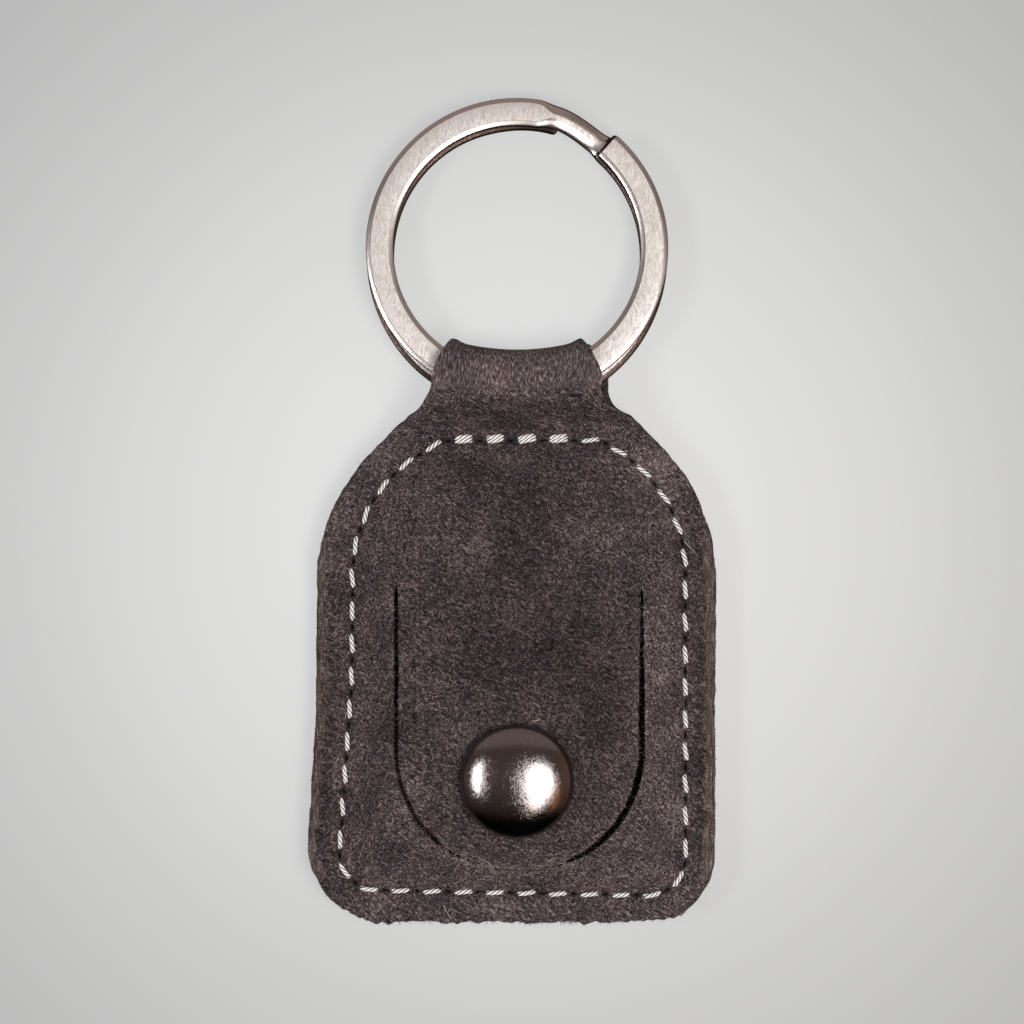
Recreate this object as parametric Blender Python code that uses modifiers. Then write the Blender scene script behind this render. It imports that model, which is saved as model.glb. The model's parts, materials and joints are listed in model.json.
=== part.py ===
"""Coin holder keychain: a folded leather pouch with a snap flap, on a flat split ring.

The part lies on its back. X runs across it, Y runs towards the key ring and Z points
out of its front. The origin is on the back face, in the middle of the pouch.

One leather blank makes the whole pouch: the back panel runs up through the ring, folds
over it and comes down again as the front panel, and the two are sewn together all round.
A tongue cut in the front panel is the flap of the coin pocket, closed by a press stud.
"""

import math

import bmesh
import bpy
from mathutils import Matrix, Vector

MM = 0.001

# Clearances and modelling allowances
FIT = 0.3 * MM
SNAP_FIT = 0.12 * MM
OVERRUN = 3.0 * MM
MERGE = 0.002 * MM
ARC_STEP_DEG = 9.0
TURNED_STEPS = 28

# Leather blank
LEATHER = 1.5 * MM
FOLD_LEATHER = 1.1 * MM
FOLD_EDGE_LEATHER = 0.75 * MM

# Outline of the pouch
POUCH_HALF_WIDTH = 21.1 * MM
SHOULDER_RADIUS = 21.1 * MM
BASE_Y = -27.8 * MM
BASE_SPREAD_LEFT = 1.5 * MM
BASE_CORNER_LEFT = 9.0 * MM
BASE_CORNER_RIGHT = 7.0 * MM
NECK_CORNER_Y = 28.7 * MM
NECK_HALF_WIDTH = 9.15 * MM
NECK_CORNER_RADIUS = 2.0 * MM
NECK_TOP_HALF_WIDTH = 7.37 * MM
NECK_FLARE_DEG = 45.0

# Seam and its thread
SEAM_MARGIN_TOP = 3.6 * MM
SEAM_MARGIN_RIGHT = 3.3 * MM
SEAM_MARGIN_LEFT = 3.7 * MM
SEAM_MARGIN_BASE = 3.1 * MM
SEAM_TOP_HALF_WIDTH = 8.2 * MM
SEAM_TOP_CORNER = 1.5 * MM
SEAM_BASE_CORNER = 5.0 * MM
SEAM_SHOULDER_DEG = 30.0
STITCHES = 45
THREAD_RADIUS = 0.3 * MM
THREAD_REST = 0.06 * MM
THREAD_DIP = 0.8 * MM
GROOVE_ROOM = 0.15 * MM
AWL_HOLE_ROOM = 0.2 * MM
AWL_HOLE_SHARE = 0.46
STITCH_TOP_SHARE = 0.6

# Coin pocket and its flap
POCKET_RISE = 2.1 * MM
POCKET_SLOPE = 5.8 * MM
SLOPE_RINGS = 4
SLIT = 0.4 * MM
FLAP_HALF_WIDTH = 12.9 * MM
FLAP_SHIFT = 0.2 * MM
FLAP_TO_BASE = 5.6 * MM
FLAP_HINGE_BELOW_NECK = 21.5 * MM

# Neck: where the strap bends, and how far
NECK_BEND_DEG = 45.0
BEND_SPARE_DEG = 1.5
BEND_BELOW_CORNER = 4.0 * MM
SEAM_BELOW_BEND = 1.5 * MM
STRAP_RISE = 2.9 * MM
LOOP_SLACK = 1.3 * MM
LOOP_OUTER_CORNER = 2.3 * MM
LOOP_INNER_CORNER = 0.7 * MM
LOOP_STATIONS = 11
LOOP_CORNER_POINTS = 4

# Split ring, wound flat from one wire
RING_OUTER_RADIUS = 16.0 * MM
WIRE_WIDTH = 2.9 * MM
WIRE_THICKNESS = 1.1 * MM
WIRE_CHAMFER = 0.28 * MM
COIL_GAP = 0.42 * MM
RING_TURNS_DEG = 680.0
RING_TOP_END_DEG = 49.6
RAMP_START_DEG = 327.0
RAMP_END_DEG = 357.0
RING_POINTS_PER_TURN = 36

# Press stud: its axis and the pieces of its two halves
SNAP_ABOVE_TIP = 9.64 * MM
CAP_RADIUS = 6.0 * MM
CAP_HEIGHT = 2.9 * MM
CAP_SHEET = 0.35 * MM
CAP_RIM = 0.55 * MM
CAP_LIP = 1.0 * MM
POST_DISC = 0.35 * MM
POST_RADIUS = 1.7 * MM
POST_WALL = 0.4 * MM
POST_FLARE = 0.45 * MM
POST_FLARE_HEIGHT = 0.3 * MM
SOCKET_RADIUS = 4.9 * MM
SOCKET_RECESS = 0.5 * MM
SOCKET_WEB = 0.45 * MM
SOCKET_WALL = 1.15 * MM
SOCKET_RIM_HEIGHT = 0.8 * MM
SPRING_WIRE = 0.5 * MM
SPRING_GAP_DEG = 60.0
SPRING_PROUD = 0.05 * MM
STUD_HEAD_RADIUS = 2.1 * MM
STUD_NECK_RADIUS = 1.9 * MM
STUD_WALL = 0.22 * MM
STUD_FLANGE_RADIUS = 3.9 * MM
STUD_SHEET = 0.35 * MM
STUD_RECESS = 0.35 * MM
STUD_PLAY = 0.38 * MM
EYELET_FLANGE_RADIUS = 4.0 * MM
EYELET_RECESS = 0.55 * MM
EYELET_SHEET = 0.35 * MM
EYELET_RADIUS = 1.3 * MM
EYELET_WALL = 0.35 * MM
EYELET_LIP = 0.2 * MM
EYELET_LIP_HEIGHT = 0.25 * MM

# Levels that follow from the leather
BACK_TOP_Z = LEATHER
FRONT_UNDER_Z = LEATHER + FIT
FRONT_TOP_Z = FRONT_UNDER_Z + LEATHER
POCKET_UNDER_Z = FRONT_UNDER_Z + POCKET_RISE
POCKET_TOP_Z = POCKET_UNDER_Z + LEATHER
BEND_Z = FRONT_TOP_Z / 2

# Places along the part that follow from the neck
BEND_Y = NECK_CORNER_Y - BEND_BELOW_CORNER
SEAM_TOP_Y = BEND_Y - SEAM_BELOW_BEND
FLAP_HINGE_Y = NECK_CORNER_Y - FLAP_HINGE_BELOW_NECK
FLAP_TIP_Y = BASE_Y + FLAP_TO_BASE
SNAP_Y = FLAP_TIP_Y + SNAP_ABOVE_TIP

# The ring lies in the loop at one end and on the table at the other
RING_STACK = 2 * WIRE_THICKNESS + COIL_GAP
RING_MID_RADIUS = RING_OUTER_RADIUS - WIRE_WIDTH / 2
RING_INNER_RADIUS = RING_OUTER_RADIUS - WIRE_WIDTH
RING_NEAR_Y = BEND_Y + STRAP_RISE
RING_CENTRE_Y = RING_NEAR_Y + RING_OUTER_RADIUS
RING_TILT = math.asin((LEATHER + FIT) / (2 * RING_MID_RADIUS))
RING_CENTRE_Z = RING_OUTER_RADIUS * math.sin(RING_TILT) + RING_STACK / 2 * math.cos(RING_TILT)
LOOP_CEILING_Z = (RING_CENTRE_Z + RING_OUTER_RADIUS * math.sin(RING_TILT)
                  + RING_STACK / 2 * math.cos(RING_TILT) + FIT)
LOOP_TOP_Z = LOOP_CEILING_Z + FOLD_LEATHER
FOLD_INNER_Y = RING_NEAR_Y + WIRE_WIDTH + LOOP_SLACK
FOLD_Y = FOLD_INNER_Y + FOLD_LEATHER

# Levels of the press stud, from the leather that each half is set in
SOCKET_TOP_Z = POCKET_UNDER_Z + SOCKET_RECESS - SNAP_FIT
FLARE_TOP_Z = SOCKET_TOP_Z - SOCKET_WEB - SNAP_FIT
FLARE_FOOT_Z = FLARE_TOP_Z - POST_FLARE_HEIGHT
STUD_FOOT_Z = BACK_TOP_Z - STUD_RECESS + SNAP_FIT
STUD_TOP_Z = FLARE_FOOT_Z - SNAP_FIT
SOCKET_FOOT_Z = STUD_FOOT_Z + STUD_SHEET + STUD_PLAY
SOCKET_BORE = STUD_HEAD_RADIUS + STUD_PLAY
CAP_FOOT_Z = POCKET_TOP_Z + SNAP_FIT
EYELET_FOOT_Z = EYELET_RECESS - EYELET_SHEET - SNAP_FIT


def clear_scene():
    """Removes every object of the open file."""
    for obj in list(bpy.data.objects):
        bpy.data.objects.remove(obj, do_unlink=True)


def new_collection(name):
    """Adds a collection to the scene."""
    collection = bpy.data.collections.new(name)
    bpy.context.scene.collection.children.link(collection)
    return collection


def new_material(name, colour, roughness, metallic):
    """A Principled material of one colour, given as linear red, green and blue."""
    material = bpy.data.materials.new(name)
    material.use_nodes = True
    shader = material.node_tree.nodes["Principled BSDF"]
    shader.inputs["Base Color"].default_value = (*colour, 1)
    shader.inputs["Roughness"].default_value = roughness
    shader.inputs["Metallic"].default_value = metallic
    material.diffuse_color = (*colour, 1)
    return material


def new_object(name, data, collection, material=None):
    """Links a new object of the given data."""
    obj = bpy.data.objects.new(name, data)
    collection.objects.link(obj)
    if material:
        data.materials.append(material)
    return obj


def solid_from(bm, name):
    """Writes a closed bmesh into a new mesh with its faces pointing out."""
    bmesh.ops.recalc_face_normals(bm, faces=bm.faces)
    if bm.calc_volume(signed=True) < 0:
        bmesh.ops.reverse_faces(bm, faces=bm.faces)
    return mesh_from(bm, name)


def mesh_from(bm, name):
    """Writes a bmesh into a new mesh and frees it."""
    mesh = bpy.data.meshes.new(name)
    bm.to_mesh(mesh)
    bm.free()
    return mesh


def as_mesh_object(obj, collection, material=None):
    """Turns a curve object into a mesh object of the same name, with its caps welded on."""
    bpy.context.view_layer.update()
    graph = bpy.context.evaluated_depsgraph_get()
    mesh = bpy.data.meshes.new_from_object(obj.evaluated_get(graph))
    bm = bmesh.new()
    bm.from_mesh(mesh)
    bmesh.ops.remove_doubles(bm, verts=bm.verts, dist=MERGE)
    bm.to_mesh(mesh)
    bm.free()
    name = obj.name
    place = obj.matrix_world.copy()
    bpy.data.objects.remove(obj, do_unlink=True)
    mesh.materials.clear()
    solid = new_object(name, mesh, collection, material)
    solid.matrix_world = place
    return solid


def hide_cutter(obj):
    """Marks an object as a cutter: drawn as wire and never rendered."""
    obj.hide_render = True
    obj.display_type = "WIRE"
    return obj


def boolean(obj, cutter, operation):
    """Cuts an object with another, or keeps what the two share."""
    modifier = obj.modifiers.new(cutter.name, "BOOLEAN")
    modifier.operation = operation
    modifier.solver = "EXACT"
    modifier.object = cutter


def round_shading(obj):
    """Shades a round piece smooth, with its sharp edges kept."""
    obj.data.shade_smooth()
    obj.data.set_sharp_from_angle(angle=math.radians(35))


def rounded_outline(corners):
    """A closed outline from corners (x, y, radius), each rounded as far as its sides allow."""
    spots = [Vector(corner[:2]) for corner in corners]
    ahead = [b - a for a, b in zip(spots, spots[1:] + spots[:1])]
    halves = [(-ahead[i - 1]).angle(ahead[i]) / 2 for i in range(len(corners))]
    reach = [corner[2] / math.tan(half) for corner, half in zip(corners, halves)]
    for i, side in enumerate(ahead):
        after = (i + 1) % len(corners)
        spare = side.length / max(reach[i] + reach[after], MERGE)
        if spare < 1:
            reach[i] *= spare
            reach[after] *= spare
    points = []
    for i, spot in enumerate(spots):
        back = -ahead[i - 1].normalized()
        on = ahead[i].normalized()
        centre = spot + (back + on).normalized() * (reach[i] / math.cos(halves[i]))
        first = spot + back * reach[i] - centre
        turn = -first.angle_signed(spot + on * reach[i] - centre) if reach[i] else 0
        count = round(abs(math.degrees(turn)) / ARC_STEP_DEG)
        for k in range(count + 1):
            point = centre + Matrix.Rotation(turn * k / max(count, 1), 2) @ first
            if not points or (point - points[-1]).length > MERGE:
                points.append(point)
    if (points[0] - points[-1]).length <= MERGE:
        points.pop()
    return points


def keep_below(points, level):
    """The part of a closed outline that lies below a level of Y."""
    kept = []
    for a, b in zip(points, points[1:] + points[:1]):
        if a.y <= level:
            kept.append(a)
        if (a.y <= level) != (b.y <= level):
            kept.append(a.lerp(b, (level - a.y) / (b.y - a.y)))
    return kept


def neck_half_width(y):
    """Half the width of the tapered neck at a height Y above its corner."""
    share = (y - NECK_CORNER_Y) / (FOLD_Y - NECK_CORNER_Y)
    return NECK_HALF_WIDTH + share * (NECK_TOP_HALF_WIDTH - NECK_HALF_WIDTH)


def blank_outline():
    """Outline of pouch and neck, which runs past the fold so that the loop can be cut by it."""
    top = FOLD_Y + OVERRUN
    top_half = neck_half_width(top)
    shoulder = NECK_CORNER_Y - ((POUCH_HALF_WIDTH - NECK_HALF_WIDTH)
                                * math.tan(math.radians(NECK_FLARE_DEG)))
    base_left = POUCH_HALF_WIDTH + BASE_SPREAD_LEFT
    return rounded_outline([
        (top_half, top, 0),
        (-top_half, top, 0),
        (-NECK_HALF_WIDTH, NECK_CORNER_Y, NECK_CORNER_RADIUS),
        (-POUCH_HALF_WIDTH, shoulder, SHOULDER_RADIUS),
        (-base_left, BASE_Y, BASE_CORNER_LEFT),
        (POUCH_HALF_WIDTH, BASE_Y, BASE_CORNER_RIGHT),
        (POUCH_HALF_WIDTH, shoulder, SHOULDER_RADIUS),
        (NECK_HALF_WIDTH, NECK_CORNER_Y, NECK_CORNER_RADIUS),
    ])


def seam_outline():
    """The line of the stitches, which runs round the pocket a margin inside the edge."""
    right = POUCH_HALF_WIDTH - SEAM_MARGIN_RIGHT
    left = -POUCH_HALF_WIDTH + SEAM_MARGIN_LEFT
    middle = (left + right) / 2
    base = BASE_Y + SEAM_MARGIN_BASE
    shoulder_radius = SHOULDER_RADIUS - SEAM_MARGIN_TOP
    shoulder = SEAM_TOP_Y - ((right - middle - SEAM_TOP_HALF_WIDTH)
                             * math.tan(math.radians(SEAM_SHOULDER_DEG)))
    return rounded_outline([
        (middle - SEAM_TOP_HALF_WIDTH, SEAM_TOP_Y, SEAM_TOP_CORNER),
        (left, shoulder, shoulder_radius),
        (left - BASE_SPREAD_LEFT, base, SEAM_BASE_CORNER),
        (right, base, SEAM_BASE_CORNER),
        (right, shoulder, shoulder_radius),
        (middle + SEAM_TOP_HALF_WIDTH, SEAM_TOP_Y, SEAM_TOP_CORNER),
    ])


def flap_outline(grow, top):
    """The tongue of the flap, grown all round, with its straight root at the level top."""
    half = FLAP_HALF_WIDTH + grow
    tip = FLAP_TIP_Y - grow
    return rounded_outline([
        (FLAP_SHIFT + half, top, 0),
        (FLAP_SHIFT - half, top, 0),
        (FLAP_SHIFT - half, tip, half),
        (FLAP_SHIFT + half, tip, half),
    ])


def plate(name, outline, low, high, collection, material=None):
    """A flat plate of the given outline between two levels, as a mesh."""
    curve = bpy.data.curves.new(name, "CURVE")
    curve.dimensions = "2D"
    curve.fill_mode = "BOTH"
    curve.extrude = (high - low) / 2
    spline = curve.splines.new("POLY")
    spline.points.add(len(outline) - 1)
    for spot, point in zip(spline.points, outline):
        spot.co = (point.x, point.y, 0, 1)
    spline.use_cyclic_u = True
    obj = new_object(name, curve, collection)
    obj.location = (0, 0, (low + high) / 2)
    return as_mesh_object(obj, collection, material)


def wire(name, points, radius, resolution, closed, collection, material):
    """A round wire or thread along points, with its ends capped where it is open."""
    curve = bpy.data.curves.new(name, "CURVE")
    curve.dimensions = "3D"
    curve.bevel_depth = radius
    curve.bevel_resolution = resolution
    curve.use_fill_caps = not closed
    spline = curve.splines.new("POLY")
    spline.points.add(len(points) - 1)
    for spot, point in zip(spline.points, points):
        spot.co = (*point, 1)
    spline.use_cyclic_u = closed
    return as_mesh_object(new_object(name, curve, collection), collection, material)


def turned(name, profile, closed, place, collection, material=None):
    """A turned piece: a profile of (radius, height), outer side first and downwards."""
    bm = bmesh.new()
    spots = [bm.verts.new((radius, 0, height)) for radius, height in profile]
    for a, b in zip(spots, spots[1:]):
        bm.edges.new((a, b))
    if closed:
        bm.edges.new((spots[-1], spots[0]))
    obj = new_object(name, mesh_from(bm, name), collection, material)
    obj.location = place
    screw = obj.modifiers.new("Turn", "SCREW")
    screw.axis = "Z"
    screw.angle = math.tau
    screw.steps = TURNED_STEPS
    screw.render_steps = TURNED_STEPS
    screw.use_merge_vertices = True
    screw.merge_threshold = MERGE
    return obj


def stepped_drill(name, steps, low, place, collection):
    """A round cutter of steps (radius, top) from above, faceted like what goes in its hole."""
    profile = [(0, steps[0][1])]
    for (radius, top), (_, foot) in zip(steps, steps[1:] + [(0, low)]):
        profile += [(radius, top), (radius, foot)]
    profile.append((0, low))
    return hide_cutter(turned(name, profile, False, place, collection))


def hang_on(pieces, empty):
    """Parents pieces to an empty without moving them."""
    bpy.context.view_layer.update()
    for piece in pieces:
        piece.parent = empty
        piece.matrix_parent_inverse = empty.matrix_world.inverted()


def new_empty(name, place, collection):
    """An empty that marks a joint's axis."""
    empty = new_object(name, None, collection)
    empty.location = place
    bpy.context.view_layer.update()
    return empty


def smooth_step(share):
    """An even rise from 0 to 1."""
    return share * share * (3 - 2 * share)


def front_sheet(name, seam, collection, material):
    """The whole front layer: flat from its edge to the seam, then crowned over the pocket."""
    bm = bmesh.new()
    middle = Vector(((min(p.x for p in seam) + max(p.x for p in seam)) / 2,
                     (min(p.y for p in seam) + max(p.y for p in seam)) / 2))
    reach = max(seam, key=lambda p: p.x).x - middle.x, max(seam, key=lambda p: p.y).y - middle.y

    def ring(points, height):
        spots = [bm.verts.new((p.x, p.y, FRONT_UNDER_Z + height)) for p in points]
        return [bm.edges.new(pair) for pair in zip(spots, spots[1:] + spots[:1])]

    edge = ring(keep_below(blank_outline(), BEND_Y), 0)
    inner = None
    for k in range(SLOPE_RINGS + 1):
        share = (THREAD_RADIUS / POCKET_SLOPE * 2) if k == 0 else k / SLOPE_RINGS
        scale = [1 - POCKET_SLOPE * share / r for r in reach]
        points = [Vector((middle.x + (p.x - middle.x) * scale[0],
                          middle.y + (p.y - middle.y) * scale[1])) for p in seam]
        height = POCKET_RISE * smooth_step(k / SLOPE_RINGS)
        edges = ring(points, height)
        if inner is None:
            bmesh.ops.triangle_fill(bm, use_beauty=True, edges=edge + edges)
        else:
            bmesh.ops.bridge_loops(bm, edges=inner + edges)
        inner = edges
    bmesh.ops.triangle_fill(bm, use_beauty=True, edges=inner)
    bmesh.ops.recalc_face_normals(bm, faces=bm.faces)
    if sum(face.normal.z * face.calc_area() for face in bm.faces) < 0:
        bmesh.ops.reverse_faces(bm, faces=bm.faces)
    obj = new_object(name, mesh_from(bm, name), collection, material)
    solidify = obj.modifiers.new("Leather", "SOLIDIFY")
    solidify.thickness = LEATHER
    solidify.offset = 1
    solidify.use_even_offset = True
    return obj


def bend_cutter(collection):
    """The hourglass that parts the strap at the neck, so that the loop can bend both ways."""
    slope = math.tan(math.radians(NECK_BEND_DEG / 2 + BEND_SPARE_DEG))
    waist = FIT / 2
    reach = BEND_Z + FIT
    wide = waist + reach * slope
    side = [(wide, reach), (waist, 0), (wide, -reach)]
    bm = bmesh.new()
    for y, z in side + [(-y, z) for y, z in reversed(side)]:
        bm.verts.new((-POUCH_HALF_WIDTH - OVERRUN, BEND_Y + y, BEND_Z + z))
    face = bm.faces.new(bm.verts)
    swept = bmesh.ops.extrude_face_region(bm, geom=[face])["geom"]
    spots = [item for item in swept if isinstance(item, bmesh.types.BMVert)]
    bmesh.ops.translate(bm, verts=spots, vec=(2 * (POUCH_HALF_WIDTH + OVERRUN), 0, 0))
    return hide_cutter(new_object("neck_bend_cut", solid_from(bm, "neck_bend_cut"), collection))


def seam_point(seam, share):
    """Point and direction of the seam at a share of its length, clockwise or not as drawn."""
    steps = [(b - a).length for a, b in zip(seam, seam[1:] + seam[:1])]
    left = (share % 1) * sum(steps)
    for i, step in enumerate(steps):
        if left <= step:
            a = seam[i]
            b = seam[(i + 1) % len(seam)]
            return a.lerp(b, left / step), (b - a).normalized()
        left -= step
    return seam[0], (seam[1] - seam[0]).normalized()


def seam_length(seam):
    """Length of the closed seam."""
    return sum((b - a).length for a, b in zip(seam, seam[1:] + seam[:1]))


def awl_holes(seam, collection):
    """One cutter with a hole between each stitch and the next, right through both layers."""
    length = seam_length(seam) / STITCHES * AWL_HOLE_SHARE
    width = 2 * (THREAD_RADIUS + AWL_HOLE_ROOM)
    low = -OVERRUN
    high = FRONT_TOP_Z + OVERRUN
    bm = bmesh.new()
    for k in range(STITCHES):
        point, along = seam_point(seam, (k + 0.5) / STITCHES)
        place = Matrix.Translation((point.x, point.y, (low + high) / 2))
        turn = Matrix.Rotation(math.atan2(along.y, along.x), 4, "Z")
        size = Matrix.Diagonal((length, width, high - low, 1))
        bmesh.ops.create_cube(bm, size=1, matrix=place @ turn @ size)
    return hide_cutter(new_object("awl_holes", mesh_from(bm, "awl_holes"), collection))


def thread_groove(seam, collection):
    """The groove in the back face that keeps the lower thread off the table."""
    depth = THREAD_REST + 2 * THREAD_RADIUS + THREAD_REST
    bm = bmesh.new()
    spots = [bm.verts.new((p.x, p.y, -OVERRUN)) for p in seam]
    edges = [bm.edges.new(pair) for pair in zip(spots, spots[1:] + spots[:1])]
    wall = bmesh.ops.extrude_edge_only(bm, edges=edges)["geom"]
    raised = [item for item in wall if isinstance(item, bmesh.types.BMVert)]
    bmesh.ops.translate(bm, verts=raised, vec=(0, 0, OVERRUN + depth))
    bmesh.ops.recalc_face_normals(bm, faces=bm.faces)
    obj = new_object("thread_groove", mesh_from(bm, "thread_groove"), collection)
    solidify = obj.modifiers.new("Groove", "SOLIDIFY")
    solidify.thickness = 2 * (THREAD_RADIUS + GROOVE_ROOM)
    solidify.offset = 0
    solidify.use_even_offset = True
    return hide_cutter(obj)


def thread(name, seam, rest, dip, collection, material):
    """One thread all round the seam: flat over each stitch, dipping into each awl hole."""
    path = []
    half = STITCH_TOP_SHARE / 2
    for k in range(STITCHES):
        for share, level in ((-half, rest), (half, rest), (1 / 2, dip)):
            point, _ = seam_point(seam, (k + share) / STITCHES)
            path.append((point.x, point.y, level))
    return wire(name, path, THREAD_RADIUS, 1, True, collection, material)


def bow_radius(rise, half_width):
    """Radius of the arc that rises by a given amount at a given half width."""
    return (half_width ** 2 + rise ** 2) / (2 * rise)


def bowed(radius, half, x):
    """Rise of a bow at X, which runs on straight past the edge of the strap."""
    inside = min(abs(x), half)
    depth = math.sqrt(radius ** 2 - inside ** 2)
    return radius - depth + (abs(x) - inside) * inside / depth


def loop_section(x):
    """Section (y, z) of the folded strap at X: a hairpin round the wire, open at the bend."""
    half = neck_half_width(FOLD_INNER_Y)
    wire_y = RING_CENTRE_Y - math.sqrt(RING_INNER_RADIUS ** 2 - half ** 2)
    inner_bow = bow_radius(wire_y + FIT - FOLD_INNER_Y, half)
    outer_bow = bow_radius(wire_y + FIT + FOLD_EDGE_LEATHER - FOLD_Y, half)
    inner_y = FOLD_INNER_Y + bowed(inner_bow, half, x)
    outer_y = FOLD_Y + bowed(outer_bow, half, x)

    def corner(y, z, radius, start, end):
        turns = [start + (end - start) * k / LOOP_CORNER_POINTS
                 for k in range(LOOP_CORNER_POINTS + 1)]
        return [(y + radius * math.cos(a), z + radius * math.sin(a)) for a in turns]

    right = math.pi / 2
    knee = FRONT_TOP_Z - LEATHER / 2
    crest = LOOP_TOP_Z - LOOP_CEILING_Z
    section = [(BEND_Y, 0)]
    section += corner(outer_y - LOOP_OUTER_CORNER, LOOP_OUTER_CORNER, LOOP_OUTER_CORNER, -right, 0)
    section += corner(outer_y - LOOP_OUTER_CORNER, LOOP_TOP_Z - LOOP_OUTER_CORNER,
                      LOOP_OUTER_CORNER, 0, right)
    section += [
        (RING_NEAR_Y + crest, LOOP_TOP_Z),
        (RING_NEAR_Y, LOOP_TOP_Z - FIT / 2),
        (RING_NEAR_Y - crest, LOOP_CEILING_Z + FIT),
        (BEND_Y + FIT, FRONT_TOP_Z),
        (BEND_Y, FRONT_TOP_Z),
        (BEND_Y, FRONT_UNDER_Z),
        (BEND_Y + FIT, FRONT_UNDER_Z),
        (RING_NEAR_Y - FIT - crest / 2, knee + FOLD_LEATHER),
        (RING_NEAR_Y - FIT, LOOP_CEILING_Z),
    ]
    section += corner(inner_y - LOOP_INNER_CORNER, LOOP_CEILING_Z - LOOP_INNER_CORNER,
                      LOOP_INNER_CORNER, right, 0)
    section += corner(inner_y - LOOP_INNER_CORNER, BACK_TOP_Z + LOOP_INNER_CORNER,
                      LOOP_INNER_CORNER, 0, -right)
    section.append((BEND_Y, BACK_TOP_Z))
    return section


def ring_loop(name, collection, material):
    """The strap round the ring, drawn across the neck section by section."""
    half = POUCH_HALF_WIDTH * 0.5 + NECK_HALF_WIDTH * 0.5
    bm = bmesh.new()
    rings = []
    for k in range(LOOP_STATIONS):
        x = half * (2 * k / (LOOP_STATIONS - 1) - 1)
        spots = [bm.verts.new((x, y, z)) for y, z in loop_section(x)]
        rings.append([bm.edges.new(pair) for pair in zip(spots, spots[1:] + spots[:1])])
        if k in (0, LOOP_STATIONS - 1):
            bm.faces.new(spots)
    for a, b in zip(rings, rings[1:]):
        bmesh.ops.bridge_loops(bm, edges=a + b)
    return new_object(name, solid_from(bm, name), collection, material)


def ring_height(turned_deg):
    """Height of the wire's middle after so many degrees of winding, from the ring's middle."""
    step = (WIRE_THICKNESS + COIL_GAP) / 2
    share = (turned_deg - RAMP_START_DEG) / (RAMP_END_DEG - RAMP_START_DEG)
    return step - 2 * step * smooth_step(min(1, max(0, share)))


def wire_section():
    """Section of the flat wire: across (outwards) and up, with its corners bevelled."""
    wide = WIRE_WIDTH / 2
    tall = WIRE_THICKNESS / 2
    cut = WIRE_CHAMFER
    return [(wide, tall - cut), (wide - cut, tall), (cut - wide, tall), (-wide, tall - cut),
            (-wide, cut - tall), (cut - wide, -tall), (wide - cut, -tall), (wide, cut - tall)]


def split_ring(name, collection, material):
    """The ring's wire, wound clockwise from the end that shows, then down under itself."""
    count = round(RING_TURNS_DEG / 360 * RING_POINTS_PER_TURN)
    bm = bmesh.new()
    rings = []
    stations = []
    for k in range(count + 1):
        turned_deg = RING_TURNS_DEG * k / count
        angle = math.radians(RING_TOP_END_DEG - turned_deg)
        lift = ring_height(turned_deg)
        station = []
        for across, up in wire_section():
            radius = RING_MID_RADIUS + across
            station.append(Vector((radius * math.cos(angle), radius * math.sin(angle), lift + up)))
        spots = [bm.verts.new(point) for point in station]
        rings.append([bm.edges.new(pair) for pair in zip(spots, spots[1:] + spots[:1])])
        stations.append((turned_deg, station))
        if k in (0, count):
            bm.faces.new(spots)
    for a, b in zip(rings, rings[1:]):
        bmesh.ops.bridge_loops(bm, edges=a + b)
    obj = new_object(name, solid_from(bm, name), collection, material)
    obj.location = (0, RING_CENTRE_Y, RING_CENTRE_Z)
    obj.rotation_euler = (-RING_TILT, 0, 0)
    gap = min(
        (p - q).length
        for i, (turn_a, a) in enumerate(stations)
        for turn_b, b in stations[i:]
        if turn_b - turn_a > 180
        for p in a
        for q in b
    )
    print(f"split ring: least gap between its turns {gap / MM:.2f} mm")
    return obj


def snap_cap(place, collection, material):
    """The domed cap, a pressed shell whose rim is rolled in under the post's disc."""
    dome = CAP_HEIGHT - CAP_RIM
    inner = CAP_RADIUS - CAP_SHEET
    bends = 8
    outer_side = [(CAP_RADIUS * math.sin(math.pi / 2 * k / bends),
                   CAP_RIM + dome * math.cos(math.pi / 2 * k / bends)) for k in range(bends + 1)]
    inner_side = [(inner * math.sin(math.pi / 2 * k / bends),
                   CAP_RIM + (dome - CAP_SHEET) * math.cos(math.pi / 2 * k / bends))
                  for k in range(bends, -1, -1)]
    lip = [
        (CAP_RADIUS, CAP_SHEET),
        (CAP_RADIUS - CAP_SHEET / 2, 0),
        (CAP_RADIUS - CAP_LIP, 0),
        (CAP_RADIUS - CAP_LIP, CAP_SHEET),
        (inner, CAP_SHEET),
    ]
    return turned("snap_cap", outer_side + lip + inner_side, False, place, collection, material)


def cap_post(place, collection, material):
    """The disc inside the cap and the hollow post that is flared over inside the socket."""
    disc_foot = CAP_FOOT_Z + CAP_SHEET + SNAP_FIT
    disc_top = disc_foot + POST_DISC
    disc = CAP_RADIUS - CAP_SHEET - SNAP_FIT
    disc = min(disc, disc_reach(disc_top - CAP_FOOT_Z))
    bore = POST_RADIUS - POST_WALL
    flare = POST_RADIUS + POST_FLARE
    profile = [
        (0, disc_top),
        (disc, disc_top),
        (disc, disc_foot),
        (POST_RADIUS, disc_foot),
        (POST_RADIUS, FLARE_TOP_Z),
        (flare, FLARE_TOP_Z),
        (flare, FLARE_FOOT_Z + POST_FLARE_HEIGHT / 2),
        (bore + POST_WALL / 2, FLARE_FOOT_Z),
        (bore, FLARE_FOOT_Z + POST_FLARE_HEIGHT / 2),
        (bore, disc_foot),
        (0, disc_foot),
    ]
    return turned("cap_post", profile, False, place, collection, material)


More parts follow.
